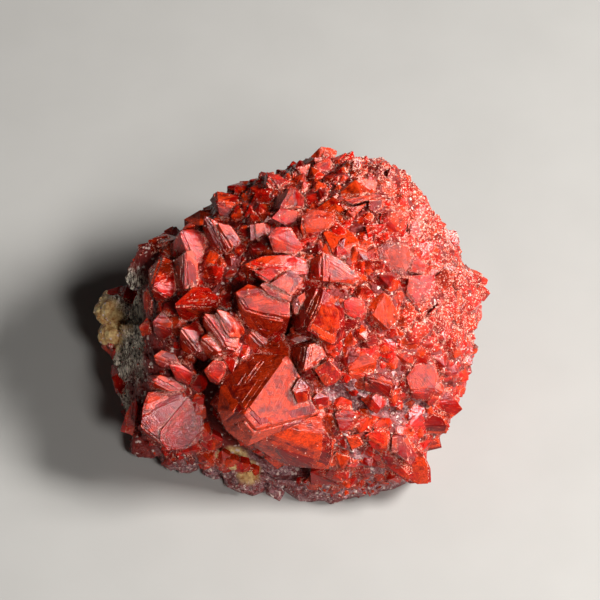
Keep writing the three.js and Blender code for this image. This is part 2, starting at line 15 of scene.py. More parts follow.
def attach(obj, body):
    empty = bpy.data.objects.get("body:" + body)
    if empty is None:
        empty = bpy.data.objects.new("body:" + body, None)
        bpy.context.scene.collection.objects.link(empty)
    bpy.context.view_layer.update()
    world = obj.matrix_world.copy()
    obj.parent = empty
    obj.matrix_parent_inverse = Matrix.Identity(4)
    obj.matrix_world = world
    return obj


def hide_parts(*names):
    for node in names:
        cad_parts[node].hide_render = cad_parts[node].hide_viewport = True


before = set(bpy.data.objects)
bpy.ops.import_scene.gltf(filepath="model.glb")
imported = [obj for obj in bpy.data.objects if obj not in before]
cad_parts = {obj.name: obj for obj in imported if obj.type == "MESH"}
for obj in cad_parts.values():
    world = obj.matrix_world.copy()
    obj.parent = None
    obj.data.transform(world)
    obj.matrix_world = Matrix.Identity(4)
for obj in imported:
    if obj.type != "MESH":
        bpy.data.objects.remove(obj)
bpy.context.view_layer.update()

MM = 0.001

# ---- the crust's sizes ----
FACE_ELEVATION = 55  # how steeply the middle of the face looks up from the ground
FACE_MIDDLE = (0.06, 0.596, 18.0)  # where the middle of the face is
PEAK = (10.0, 6.0)  # the dome's highest place on the face
DOME = 25.0  # its height over the rim
BELLY = 21.0  # how far the crust bulges behind the rim
# The crust's radius round the peak, at every 15 degrees anticlockwise from +u.
RIM = [
    27.3, 24, 24.2, 23.5, 25.8, 28.2, 27.4, 26.8, 27.2, 30, 32, 38.6, 44.8, 48, 49.4, 46, 41.2, 39.6, 41,
    39.6, 34.5, 30.8, 28.6, 26,
]
WALL_POINT = (-31.0, -5.0, 7.0)  # a place on the lower part of the broken wall
WALL_FACING = (-0.9, 0.0, 0.43)
LEDGE_DEPTH = 1.6  # how far the wall's upper part stands back
LEDGE_ABOVE = 0.0  # and the v where it starts
# The breaks of the back: how far each is from the peak's foot, and the way that it faces.
BREAKS = [(25.0, (0.25, 0.93, -0.2)), (20.5, (-0.55, 0.62, -0.56)), (20.0, (0.62, 0.45, -0.64))]
# Sunk gaps that the crystals lean over: half width, depth, and the places [u, v] that each runs through.
GAPS = [
    (2.2, 8.0, [(-17.4, -7), (-16.4, -13), (-16, -20), (-10.6, -25.6), (-3, -28.6), (5, -29)]),
    (1.2, 5.0, [(-1.2, 3), (-0.8, -2), (0.6, -9)]),
    (1.8, 2.4, [(5.4, -10), (10.4, -14.4), (16.4, -17), (22, -18), (26.4, -15.6)]),
]
CUTTER_ABOVE = 12.0  # how far what cuts a gap reaches over its floor's own depth
# Rounded lumps along the bottom edge and under the rind: u, v, w and radius.
LUMPS = [
    (-28.4, -23.2, -1, 3.8), (-22.4, -25.4, -0.6, 4.6), (-15.4, -27.4, -1.6, 3.8), (-9.4, -29.8, -0.4, 5),
    (-2.4, -31.8, -1.8, 4), (2.8, -32.4, -0.4, 4.8), (9.2, -33.2, -1.2, 4.6), (-35.8, 2.8, -4, 3.6),
    (-36.2, -1.6, -4.6, 3.4),
]

# ---- the crystals' sizes ----
# Broad crystals, each by its corners: (u, v, height over the crust under their middle).
BROAD_CRYSTALS = [
    # the shoulder over the broken wall
    [
        (-33, 8.6, 1), (-32.4, 11.4, 0.6), (-30.4, 14.8, 0.2), (-28.2, 16.2, 0), (-23.8, 17.4, 0.6),
        (-23.4, 12.6, 2.8), (-28.2, 8.2, 2.8), (-31.6, 7.2, 1.8),
    ],
    # left edge
    [
        (-27.2, 7.6, 5), (-23, 9, 3.4), (-22.6, 6.6, 3), (-23.8, 5.4, 3.2), (-23.4, 12.6, 0),
        (-25.6, 13.6, -1.4), (-28.2, 11, -1.5), (-28, 7, 0), (-26.6, 4.8, -0.5), (-25, 4.2, -0.3),
    ],
    [(-28.6, 7.8, 1.6), (-27.4, 5, 2.4), (-27.2, 1, 2.2), (-28.6, 0.8, 0.8), (-29.2, 5, 0.2)],
    [
        (-22, 18.2, 4.2), (-19.6, 17.2, 3.2), (-20, 14.8, 3.2), (-18.6, 11.4, 2.8), (-20.6, 14.2, 3.4),
        (-23.4, 16.4, -0.4), (-23.4, 13.4, -0.6), (-15.6, 15, 1.2), (-15.8, 17, 0.8), (-18.6, 18.6, 1),
    ],
    [
        (-20.6, 14.2, 4.4), (-20.8, 7, 3.6), (-18.4, 11.8, 3.6), (-18.2, 7, 2.6), (-23.2, 12.6, -1),
        (-22.8, 6.6, -1.5), (-19.2, 14.6, 3),
    ],
    [
        (-22.8, 4, 3.6), (-16, 4.2, 4.4), (-14.2, 5, 4), (-16.2, 7.2, 2.2), (-19.2, 7.4, 1.8),
        (-17.2, 1, 0.2), (-21.6, 1.2, -0.6), (-14.4, 2.6, 2),
    ],
    [
        (-21.4, -0.6, 4.4), (-19.2, -0.8, 3.7), (-17.4, -5, 3.4), (-18, -5.2, 3.6), (-21.8, -2.6, 0.6),
        (-22, -4.4, -0.6), (-19, -6, 0), (-18.6, 0.8, 1.8), (-16.8, -1.4, 2.2),
    ],
    [
        (-17.6, -2.4, 4.6), (-15.2, -2.4, 3.9), (-13.6, -4.8, 3.6), (-14.4, -5.2, 3.9),
        (-17.8, -4.4, 0.6), (-15.8, -6.8, 0), (-13.4, -5.8, 1), (-15.6, -0.8, 2.4),
    ],
    [
        (-17, 2.2, 4.8), (-14.8, 2, 4.2), (-13.2, -1.4, 4), (-10.2, -2.6, 3.4), (-10.6, -4.4, 3.6),
        (-12.6, -4, 4.1), (-17.4, 0.2, 1), (-14.2, -4.8, 0), (-11.4, -5.8, 0),
    ],
    [
        (-14.6, 3, 5.6), (-12.8, 2.6, 5), (-11.2, -0.6, 4.7), (-10, -2.4, 4), (-12, -2.4, 4.6),
        (-14.8, 1, 2), (-12.6, -3, 1.5), (-9.2, -1, 2.2), (-10.6, 2.2, 3),
    ],
    [
        (-17.2, -8.8, 3.4), (-15.4, -6.8, 3.4), (-13.4, -7, 2.6), (-12.6, -8.6, 2), (-14.2, -11, 1.7),
        (-16, -11, 0.7),
    ],
    [(-30, -0.4, 3.6), (-28.4, 1.4, 3.6), (-27.2, 0.6, 2.8), (-27.6, -1.8, 2), (-29.4, -2.2, 2.2)],
    [
        (-27.2, 0.6, 3.6), (-25.4, 2.8, 3.4), (-23.2, 0.6, 2.8), (-23, -1.6, 1.8), (-25, -2.6, 0.6),
        (-27, -1.6, 1),
    ],
    [
        (-27, -6, 3.6), (-25.4, -4.8, 3.1), (-22.8, -5.6, 2.6), (-21.4, -8, 2), (-24.2, -8.6, 1.8),
        (-26.6, -7.6, 1.2),
    ],
    [(-24, -7.6, 3.4), (-21.4, -7.8, 2.6), (-19.2, -9.4, 2), (-20, -11.6, 1.4), (-22.6, -10.8, 1.2)],
    [
        (-27.2, -10.6, 4.2), (-25.6, -9.6, 3.4), (-23.4, -10.2, 3.2), (-20.8, -12.6, 2.6),
        (-23.6, -12.6, 3.3), (-28.4, -9.8, 0.5), (-28.2, -12.2, 0), (-24.6, -13.2, 0.2),
    ],
    # the block at the lower left, and the slab beside it
    [
        (-28.2, -13, 5.2), (-21.4, -12.6, 4.4), (-17.8, -15, 3.4), (-17.2, -20.2, 3.2),
        (-18.6, -23.2, 3.2), (-21, -24.2, 3.8), (-24.2, -24.4, 4.4), (-29.6, -19.8, 5.6),
        (-29.2, -16, 5.9), (-28.6, -21.2, 5),
    ],
    [
        (-20.6, -14.2, 5), (-18, -15.4, 4.4), (-18, -21, 4.2), (-21, -24, 4.7), (-24.4, -24.4, 5.2),
        (-25.8, -22.4, 5.8), (-25.8, -20.6, 6),
    ],
    [
        (-28.6, -22.6, 3.6), (-25.2, -23.6, 3.4), (-25, -25, 2.4), (-27, -26.2, 1), (-28.6, -25.2, 1),
        (-28.8, -23.2, 2.6),
    ],
    [
        (-30.8, -14.2, 6.2), (-30.4, -16.2, 6), (-31.2, -20.4, 5.4), (-31.6, -21.8, 3.6),
        (-33.8, -21, 2.4), (-33.2, -18.8, 3.4), (-31.8, -15.4, 5.2),
    ],
    # the largest crystal, at the bottom, and what grew beside it
    [
        (-9.4, -17, 9.5), (-7, -19.8, 8.7), (-1.4, -5.8, 8), (-0.4, -6.6, 7.7), (5.2, -16.8, 5.4),
        (-13.8, -8.8, 0.4), (-8.2, -5.4, 1.8), (-14.6, -16.6, 3.6), (-13, -20, 4.6), (-8.6, -23.2, 4.4),
    ],
    [
        (-7.2, -20.4, 8.1), (-1.8, -19, 7.3), (5, -17.4, 5), (8, -21, 3.4), (7.8, -25.4, 1.2),
        (7, -28.2, -1.6), (-1.6, -27.4, -1), (-7.6, -23.6, 2.6),
    ],
    [(-0.2, -12.4, 7.6), (1.2, -9.8, 6.8), (3.2, -11.8, 6), (3.2, -14.4, 5.4), (0.8, -15, 6.2)],
    [(3.6, -14.2, 5.6), (4.8, -12.8, 5), (7, -13.8, 4.2), (6.8, -15.8, 3.6), (4.4, -16.2, 4.6)],
    # middle: growths side by side that point left
    [
        (-11, 6.2, 6.4), (-8.6, 7.8, 5.6), (-5.8, 7, 5.6), (-0.6, 5.6, 4.6), (-0.6, 1.4, 4.2),
        (-4.6, 2, 5), (-9, 3.2, 5.9), (-10.4, 1.6, 1.2), (-8.2, -1.2, -0.6), (-5, -2.8, -1.4),
        (-1.4, -1.6, -0.4),
    ],
    [(-6.4, 7.6, 6.6), (-4.6, 8.4, 6.1), (-0.2, 5.8, 5.3), (-0.4, 4.4, 5.2), (-4.6, 5.8, 6.1)],
    [(-4.4, 7.8, 7), (-3, 9, 6.5), (-0.6, 10.6, 5.8), (2, 8.8, 5), (-0.2, 5.6, 5.8)],
    [
        (-7.4, 10.2, 5.8), (-4.2, 11.2, 5.1), (-0.6, 11, 4.8), (-0.2, 9, 4.6), (-4.6, 8.4, 5.6),
        (-7.2, 9, 2.6),
    ],
    [
        (-9.2, 11.6, 4.4), (-6.2, 13, 3.7), (-1, 13.4, 3.1), (2.6, 12.6, 2.4), (3.2, 10, 2.4),
        (-0.2, 10.4, 3.8), (-5.4, 10.6, 4.6), (-10.2, 10.6, 0), (-8.6, 9.2, 0.6),
    ],
    # middle: points hanging down the slope
    [
        (2.6, -1, 7.4), (5, 4.4, 6.8), (5.8, 6.8, 5.4), (7.6, 5.4, 4.9), (9.8, 2.6, 3.8), (10, -2.2, 3.2),
        (8, -4, 4.4), (3.8, 7.6, 2.6), (1.4, 5, 1.8), (0.6, 1.4, 1.4), (0.8, -1.6, 2.4),
    ],
    [(0, 4.8, 3.8), (2.2, 6.4, 3.6), (2.6, 3.4, 3.2), (0.8, 2, 3.4), (-0.2, 2.4, 3)],
    [
        (2.2, -8.8, 6.6), (3, -3.8, 6), (5, -3, 5), (6.4, -5.8, 4.4), (3.8, -8, 5.7), (-0.2, -3.6, 0.8),
        (0, -7, 1.4), (1.4, -9.2, 2.6),
    ],
    [(4, -8.4, 3.4), (6.8, -6.6, 4.4), (9.8, -9.4, 1.4), (6.4, -12, 0.4), (8.2, -11.2, 0.6)],
    # upper left
    [
        (-17.2, 21.2, 3.2), (-14.8, 20.2, 2.6), (-12.2, 15, 2.3), (-12.4, 12.6, 2.1), (-14.6, 15.8, 2.5),
        (-17.6, 18.6, 0.2), (-15.4, 14.6, 0.3),
    ],
    [
        (-14.4, 19.8, 3.4), (-12, 19.2, 2.8), (-10, 16.4, 2.4), (-11.8, 15.2, 2.7), (-14.4, 17.4, 1),
        (-12.4, 13, 0.6),
    ],
    [
        (-15, 24, 3), (-11.4, 23.2, 2.7), (-8.8, 21.8, 2.2), (-11.4, 20.4, 2.1), (-14.4, 21.6, 2.5),
        (-16.4, 24.6, 0.6), (-15.2, 26.2, 0), (-10.6, 25, 0.6),
    ],
    [(-8.4, 19.4, 2.7), (-5.6, 19.8, 2.2), (-5.2, 17.4, 2), (-8.2, 16.2, 2.3)],
    [
        (-5, 28.4, 3), (-1.4, 27.6, 2.4), (-3.4, 26.2, 2.5), (-5.4, 29.8, 1.2), (-0.4, 28.2, 0.9),
        (-6, 27, 0.3), (-4.2, 25.2, 0.3),
    ],
    [
        (-0.2, 26.8, 3.8), (0.4, 22.8, 3.2), (-2.2, 22.6, 3.4), (-4, 22.2, 0.4), (-3.2, 24.8, 0.6),
        (2.2, 25, 1.1), (2.2, 22.6, 1.1),
    ],
    [(-4.2, 20.6, 2.9), (-2.4, 22.6, 2.7), (0.6, 22, 2.1), (1, 20.2, 1.8), (-1.4, 19.2, 2.1)],
    [
        (-4.8, 17, 3.8), (-3.2, 18.8, 3.3), (-0.4, 18.8, 2.8), (2, 14.6, 2), (0.6, 13.6, 2),
        (-3.8, 14, 2.7),
    ],
    [
        (1.6, 21, 2.4), (3.8, 22.4, 1.8), (8.2, 21.6, 1.4), (5.8, 18.8, 2), (1.4, 18.6, 2.4),
        (2.4, 15.6, 0.9), (8.2, 15.6, 0.4),
    ],
    [
        (5.6, 13.8, 3.2), (5.8, 8.4, 2.6), (8.6, 12.8, 2.4), (12.8, 9.2, 1.4), (11.6, 7.8, 1.2),
        (3.4, 12.6, 0.4), (3.2, 8.8, 0.3),
    ],
    [
        (9.6, 4.6, 2.4), (11.4, 5.4, 2), (13.6, 4.6, 1.6), (14, 2.6, 1.2), (11.8, 1.2, 1.2),
        (9.8, 2.2, 1.7),
    ],
    # along the top
    [
        (5.6, 35.6, 2), (6.6, 35.4, 1.9), (8.4, 33.4, 1.7), (5.8, 31.8, 1.8), (3.4, 33.4, 0.8),
        (8.6, 34.6, 0),
    ],
    [(0.4, 31, 2.4), (3.4, 31.8, 2), (3.2, 29, 1.7), (1.4, 29.4, 2)],
    [(4, 31.4, 2.2), (7.4, 33.4, 1.8), (7.4, 30.6, 2), (4.4, 28.8, 2.1)],
    [(11.8, 32.6, 3.2), (13.2, 33, 2.7), (13.6, 29.8, 2.5), (11.4, 29.4, 2.8), (9.4, 30.8, 0.9)],
    [
        (17.4, 31.2, 3.2), (18, 31, 2.9), (17.2, 27.8, 2.6), (16.2, 29.6, 3), (14.6, 30.6, 1.2),
        (13.8, 31.4, 0.9),
    ],
    [(19, 31, 2.8), (19.6, 29.4, 2.5), (19.2, 27.4, 2.4), (18.4, 29, 2.7)],
    [(10.4, 22.4, 3), (14.2, 23.4, 2.4), (11.8, 20.8, 2.5), (10, 21.2, 1)],
    [(14.6, 24.2, 2.9), (17.8, 24.4, 2.5), (17.4, 22.6, 2.2), (15.8, 21.6, 2.4), (14.6, 22.2, 2.7)],
    [
        (16.6, 20.4, 3.2), (17.2, 21.8, 2.8), (21, 22.2, 2.4), (22.6, 21.4, 2.1), (18, 20.6, 3),
        (17.4, 17, 1.4), (21.4, 17, 1.4),
    ],
    [(9.4, 24, 2.2), (16.4, 25.6, 1.8), (17.4, 24.8, 1.7), (11.4, 23.2, 2.1)],
    [
        (11.2, 35, 2), (15.6, 36.4, 1.5), (19.4, 33.8, 1.2), (18.2, 31.8, 2), (13.4, 33, 2.2),
        (10.4, 33, 1.5),
    ],
    # right
    [
        (15.6, 14.6, 1.8), (18.4, 16.4, 2), (22.2, 15.8, 1.7), (23, 12.6, 1.2), (21.6, 9.4, 0.9),
        (17.4, 10.8, 1.2),
    ],
    [(22.4, 20.4, 2.2), (24.8, 20.8, 1.8), (24.6, 17, 2), (22.2, 16.6, 2.3)],
    [(22.4, 12.6, 2.7), (23.8, 13.4, 2.5), (25.8, 11.4, 2.2), (25.2, 9.8, 2), (22.2, 10.2, 2.4)],
    [(13.8, 19.2, 2.4), (17.6, 19.4, 2.2), (17, 18, 2.4), (14.4, 16.6, 2.4)],
    [
        (22.2, 9.4, 3.2), (27.2, 9.8, 2.6), (27.4, 6.8, 2.5), (26.2, 4.4, 2.2), (23.4, 3.8, 2.5),
        (21.6, 5.8, 2.8),
    ],
    [(29.8, 11.2, 3.3), (31, 8.2, 2.7), (29.4, 5.6, 0.8), (27.6, 6.6, 0.9), (27.4, 9.2, 1.8)],
    [(26.2, 2.2, 2.7), (28.6, 4.4, 2.4), (29, 3, 2.1), (27, 1.8, 2.4)],
    [(31.6, 9.6, 3), (32.8, 8.8, 2.5), (32.8, 7, 2.2), (31.6, 7, 2.7), (30.6, 8.2, 1.1)],
    [
        (38.8, 9.2, 1.8), (35.4, 11.2, 1.8), (31.8, 12.4, 2), (33, 9.8, 2.7), (35.8, 7.4, 2.2),
        (38.4, 7.8, 1.4),
    ],
    [(39.4, 6.4, 1.4), (37.2, 8.2, 2), (35, 6.6, 2.5), (36.2, 4.8, 2), (38.2, 4.8, 1)],
    [(34.6, 4, 2.7), (37.4, 4.2, 1.2), (37.8, 2.2, 0.9), (37, 0.2, 0.6), (34.6, -1, 1.7)],
    [(29.4, 19, 2.2), (32.4, 18.6, 1.5), (33, 16.2, 1.2), (31.4, 14.6, 2), (29.4, 16.2, 2.2)],
    # lower right
    [
        (23.6, -7.4, 3.4), (27, -6.8, 2.8), (28.2, -9.8, 2.3), (27.6, -12.8, 2.2), (22.6, -12.6, 3),
        (21.8, -10, 3.2), (26.6, -14.8, 0.4), (23, -14.2, 0.9),
    ],
    [(13.8, -9.6, 2.8), (18.4, -9.2, 2.2), (19.8, -11.4, 1.8), (19, -14.2, 0.6), (13.8, -12.6, 0.9)],
    [
        (19.2, -21.4, 5.4), (21.8, -21.2, 4.9), (25.6, -25, 3.4), (27, -28.2, 2), (27.2, -31, 0),
        (23, -31.2, 0.2), (17.4, -27.8, 2.6), (17, -25.4, 4.4),
    ],
    [(19.2, -21.4, 5.9), (21.8, -21.2, 5.3), (24, -25.4, 4.4), (23, -27.4, 4.5), (19, -24.4, 5.7)],
    [(17.2, -25.4, 4.8), (19.6, -25.4, 4.9), (23.2, -29.4, 3.6), (22.4, -30.8, 2.6), (18.4, -27.6, 4)],
    [
        (23.6, -19.6, 3.4), (26.8, -16.8, 3.3), (29.6, -17.8, 2.2), (30.6, -20, 1.4), (30.2, -21.4, 0.3),
        (25.4, -21.2, 1),
    ],
    [
        (27, -15, 3.4), (29.6, -12, 2.7), (31.8, -14.4, 1.8), (33.4, -16.6, 0.6), (31, -18.6, 0.3),
        (27.8, -17.4, 1.8),
    ],
    [(25.2, -22.2, 3.2), (28.8, -21.2, 2), (29.6, -24.4, 0.8), (26.2, -25.2, 1)],
    [(8, -17, 2.7), (10.4, -15.8, 2.4), (13.2, -17.4, 1.8), (11.4, -20.2, 1.4), (9, -20.6, 1.7)],
    [(13.8, -21.4, 2.5), (16.2, -20, 2.4), (18.8, -20.6, 1.8), (18.8, -24.2, 0.8), (15.8, -24.2, 0.8)],
    [(10.2, -21.6, 2), (12.6, -21, 1.8), (13.8, -23, 0.9), (11.4, -24.2, 0.6)],
]
BROAD_ROOT = 2.0  # how deep a broad crystal's root is sunk
ROOT_SHRINK = 0.3  # how much narrower the root is than the crystal
BROAD_ROOM = 0.95  # how much of its mean radius a broad crystal keeps for itself
BROAD_HEIGHT = 0.5  # the least that it keeps above the crust
SPOTS_TRIED = 500
SMALL_RADIUS = (2.2, 4.2)
SMALL_HEIGHT = (0.4, 0.75)  # per radius
SMALL_SUNK = 0.2  # per radius
SMALL_ROOT = 1.6
SIDE_REACH = (0.8, 0.35)  # how far its sides are out, per radius: the least, and by how much more
ROOT_NARROWED = 0.7
TIP_ASIDE = 0.45  # how far its tip may be from its middle, per radius
JITTER = 0.22  # how much small crystals lean
LOWEST_CRYSTAL = 10.0  # over the ground
CLEAR_OF_WALL = 1.0
CLEAR_OF_GAP = 0.6  # per radius
SPACING = (0.8, 0.75)  # shares of a neighbour's radius and of its own that a small crystal keeps clear
WORN = 0.1  # the width of a worn edge


class Filling(NamedTuple):
    """A kind of crystal that fills the ground between the broad and the small ones."""

    tries: int
    radii: tuple
    heights: tuple  # per radius
    spacing: float  # the share of both radii that two keep clear
    lean: float
    lowest: float  # over the ground
    seed: int


PLATES = Filling(4400, (1.8, 4.2), (0.26, 0.5), 0.45, 0.16, 8.0, 3)
POINTS = Filling(8000, (0.9, 2.0), (0.35, 0.7), 0.48, 0.3, 5.0, 4)
DRUSE = Filling(14000, (0.4, 0.85), (0.4, 0.8), 0.58, 0.4, 1.0, 5)
SCATTER = 0.012  # how far each place is moved from an even spread, as a share of the crust's size
SQUARE_TO_CRUST = 0.6  # how much crystals stand square to the smooth crust, beside the ground under them
FINE = 0.8  # crystals with a smaller radius grow even on the wall
# How deep in gaps and breaks crystals stand.
DEEP_LEAST, DEEP_MOST, DEEP_PER_RADIUS, DEEP_IF_FINE = 1.0, 4, 3, 2.5
TEMPLATES = 24  # shapes that each kind is made from
TEMPLATE_ROOT = 0.8  # per radius


class Steps(NamedTuple):
    """Growth steps: smaller copies of a crystal that stand a little way out of its faces."""

    sizes: tuple
    rises: tuple


BROAD_STEPS = Steps((0.2, 0.8), (0.12, 0.45))
BROAD_STEP_COUNT = (3, 18)
STEPS_PER_SPREAD = 2.2  # spread is in mm2
SMALL_STEPS = Steps((0.3, 0.7), (0.08, 0.3))
SMALL_STEP_COUNT = 3
FILLING_STEPS = Steps((0.3, 0.7), (0.05, 0.12))
STEP_SHIFT = 0.08  # how far a step's shade is from its crystal's


# ---- small helpers ----
def numbers_from(seed):
    """A repeatable stream of numbers from 0 to 1."""
    state = 1 + (seed * 7919) % 2147483646
    while True:
        state = (state * 16807) % 2147483647
        yield state / 2147483647


def unit(v):
    v = np.asarray(v, float)
    return v / np.linalg.norm(v)


LEAN = math.radians(90 - FACE_ELEVATION)
FACE_TURN = np.array(Matrix.Rotation(LEAN, 3, "X"))
OUT = np.array([0.0, 0.0, 1.0])
RIM_MIDDLE = np.array([*PEAK, 0.0])


def to_part(points):
    """Points of the face's frame, in the part's frame."""
    return points @ FACE_TURN.T + FACE_MIDDLE


def to_face(points):
    """Points of the part's frame, in the face's frame."""
    return (points - FACE_MIDDLE) @ FACE_TURN


# ---- solids: corners, rings of corner numbers, and a growth map (mm along and across each face) ----
SHARP = math.radians(20)  # edges sharper than this are worn
SHORTEST_EDGE = 0.01
UPPER_FACE = 0.25  # how much a face has to look up to carry growth steps


def hull(points, worn=0.0):
    """The solid that closely wraps the points, with flat faces in one piece each and its edges worn."""
    bm = bmesh.new()
    for point in points:
        bm.verts.new(point)
    made = bmesh.ops.convex_hull(bm, input=bm.verts)
    inner = {g for g in made["geom_interior"] + made["geom_unused"] if isinstance(g, bmesh.types.BMVert)}
    bmesh.ops.delete(bm, geom=list(inner), context="VERTS")
    bmesh.ops.dissolve_limit(bm, angle_limit=math.radians(1), verts=bm.verts, edges=bm.edges)
    if worn:
        sharp = [edge for edge in bm.edges if edge.calc_face_angle(0) > SHARP]
        bmesh.ops.bevel(bm, geom=sharp, offset=worn, segments=1, affect="EDGES", clamp_overlap=True)
    bmesh.ops.recalc_face_normals(bm, faces=bm.faces)
    bm.verts.index_update()
    corners = np.array([vert.co for vert in bm.verts])
    rings = [np.array([vert.index for vert in face.verts]) for face in bm.faces]
    bm.free()
    return corners, rings, [growth_map(corners[ring]) for ring in rings]


def is_closed(solid):
    """Whether a solid's every edge is met once from either side, and none is too short to join well."""
    corners, rings, _ = solid
    edges = [edge for ring in rings for edge in zip(ring.tolist(), np.roll(ring, -1).tolist())]
    lengths = [np.linalg.norm(corners[a] - corners[b]) for a, b in edges]
    paired = set(edges) == {(b, a) for a, b in edges}
    return min(lengths) > SHORTEST_EDGE and len(set(edges)) == len(edges) and paired


def face_normal(ring):
    normal = np.cross(ring[1:-1] - ring[0], ring[2:] - ring[0]).sum(0)
    return normal / max(np.linalg.norm(normal), 1e-12)


def growth_map(ring):
    """A face's corners as mm along its longest edge and across it."""
    edges = np.roll(ring, -1, axis=0) - ring
    along = unit(edges[np.linalg.norm(edges, axis=1).argmax()])
    return np.stack([ring @ along, ring @ np.cross(face_normal(ring), along)], 1)


def broad_crystal(corners, worn=0.0):
    """A crystal by its corners, with a root sunk in the crust under them."""
    places = np.array(corners, float)
    middle = places[:, :2].mean(0)
    places[:, 2] += crust_height(*middle)
    root = places.copy()
    root[:, :2] += ROOT_SHRINK * (middle - root[:, :2])
    root[:, 2] = [crust_height(u, v) - BROAD_ROOT for u, v in root[:, :2]]
    return hull(np.vstack([places, root]), worn)


def small_shape(radius, height, random, worn=0.0, root=SMALL_ROOT):
    """A low six-sided point over a sunk root: up is +Z, and the crust is at 0."""
    points = []
    for side in range(6):
        turn = side * math.pi / 3
        reach = radius * (SIDE_REACH[0] + SIDE_REACH[1] * next(random))
        x, y = reach * math.cos(turn), reach * math.sin(turn)
        z = -SMALL_SUNK * radius
        points += [(x, y, z), (ROOT_NARROWED * x, ROOT_NARROWED * y, z - root)]
    x, y = (radius * TIP_ASIDE * (2 * next(random) - 1) for _ in range(2))
    points.append((x, y, height))
    return hull(points, worn)


def growth_steps(solid, count, rng, steps):
    """Where copies of a crystal lie on its upper faces, as the place and size of each."""
    corners, rings, _ = solid
    tops = [corners[ring] for ring in rings if face_normal(corners[ring])[2] > UPPER_FACE]
    areas = np.array([np.linalg.norm(np.cross(t[1:-1] - t[0], t[2:] - t[0]).sum(0)) / 2 for t in tops])
    for top in (tops[i] for i in rng.choice(len(tops), count, p=areas / areas.sum())):
        shares = rng.dirichlet(np.full(len(top), 0.8))
        scale = rng.uniform(*steps.sizes)
        middle = shares @ top
        yield middle * (1 - scale) + face_normal(top) * rng.uniform(*steps.rises), scale


def crystal_frame(axis, turn):
    """The turn of a crystal: +Z along it, +X on the side that faces out of the crust's face."""
    x = unit(OUT - axis * axis[2] + (1e-6, 0, 0))
    y = np.cross(axis, x)
    twist = np.array(Matrix.Rotation(math.radians(turn), 3, "Z"))
    return np.column_stack([x, y, axis]) @ twist


# ---- the crust's form ----
def rim_radius(angle):
    """The crust's radius at an angle round the peak, between the places that RIM gives."""
    turn = (np.asarray(angle) / (2 * math.pi) + 1) * len(RIM)
    before = np.floor(turn).astype(int)
    share = turn - before
    rim = np.array(RIM, float)
    return rim[before % len(RIM)] * (1 - share) + rim[(before + 1) % len(RIM)] * share


def crust_radii(direction):
    """The crust is half of one ellipsoid over the rim and half of another behind it."""
    radius = rim_radius(np.arctan2(direction[..., 1], direction[..., 0]))
    return np.stack([radius, radius, np.where(direction[..., 2] > 0, DOME, BELLY)], -1)


def on_crust(direction):
    return direction * crust_radii(direction) + RIM_MIDDLE


def crust_normal(direction):
    normal = direction / crust_radii(direction)
    return normal / np.linalg.norm(normal, axis=-1, keepdims=True)


def crust_height(u, v):
    du, dv = u - PEAK[0], v - PEAK[1]
    share = math.hypot(du, dv) / float(rim_radius(math.atan2(dv, du)))
    return DOME * math.sqrt(max(0, 1 - share * share))


def even_directions(count):
    """Directions spread evenly all round."""
    golden = math.pi * (3 - math.sqrt(5))
    i = np.arange(count)
    z = 1 - (2 * i + 1) / count
    ring = np.sqrt(1 - z * z)
    return np.stack([ring * np.cos(golden * i), ring * np.sin(golden * i), z], 1)


def distance_to_gap(point, gaps):
    """How far a point is from the nearest gap's side, looking straight at the face."""
    nearest = 1e9
    for half_width, _, line in gaps:
        for start, end in zip(line, line[1:]):
            start, end, place = np.array(start, float), np.array(end, float), point[:2]
            share = np.clip((place - start) @ (end - start) / ((end - start) @ (end - start)), 0, 1)
            nearest = min(nearest, np.linalg.norm(start + share * (end - start) - place) - half_width)
    return nearest


# ---- where crystals stand: (root, axis, radius, height, turn) ----
def room_of(corners):
    """The room that a broad crystal takes up."""
    places = np.array(corners, float)
    u, v = places[:, :2].mean(0)
    radius = BROAD_ROOM * np.linalg.norm(places[:, :2] - (u, v), axis=1).mean()
    return np.array([u, v, crust_height(u, v)]), OUT, radius, max(BROAD_HEIGHT, places[:, 2].max()), 0


def has_ground(root, radius):
    """Whether a small crystal has crust to stand on, clear of the wall, the ground and the gaps."""
    if (root - WALL_POINT) @ np.array(WALL_FACING) > -CLEAR_OF_WALL or to_part(root)[2] < LOWEST_CRYSTAL:
        return False
    return root[2] < 0 or distance_to_gap(root, GAPS) > CLEAR_OF_GAP * radius


class Stems:
    """The crystals that stand, as segments from root to tip, to keep new ones clear of them."""

    PACK_EVERY = 20  # new crystals, as packing each of them would be slow

    def __init__(self, crystals):
        self.rows = [(r, a, rad, h) for r, a, rad, h, _ in crystals]
        self.pack()

    def pack(self):
        self.root = np.array([row[0] for row in self.rows])
        self.axis = np.array([row[1] for row in self.rows])
        self.radius = np.array([row[2] for row in self.rows])
        self.height = np.array([row[3] for row in self.rows])

    def room(self, point):
        """How far a point is from each stem."""
        apart = point - self.root
        along = np.clip((apart * self.axis).sum(1), 0, self.height)
        return np.linalg.norm(apart - along[:, None] * self.axis, axis=1)


def small_crystals(broad):
    random = numbers_from(11)
    standing = list(broad)
    for direction in even_directions(SPOTS_TRIED):
        root, axis = on_crust(direction), crust_normal(direction)
        radius = SMALL_RADIUS[0] + (SMALL_RADIUS[1] - SMALL_RADIUS[0]) * (next(random) * next(random))
        height = radius * (SMALL_HEIGHT[0] + (SMALL_HEIGHT[1] - SMALL_HEIGHT[0]) * next(random))
        sway = np.array([next(random), next(random), next(random)]) - 0.5
        axis = unit(axis + sway * 2 * JITTER)
        turn = 60 * next(random)
        if not has_ground(root, radius):
            continue
        stems = Stems(standing)
        if (stems.room(root) < SPACING[0] * stems.radius + SPACING[1] * radius).any():
            continue
        standing.append((root, axis, radius, height, turn))
    return standing[len(broad) :]


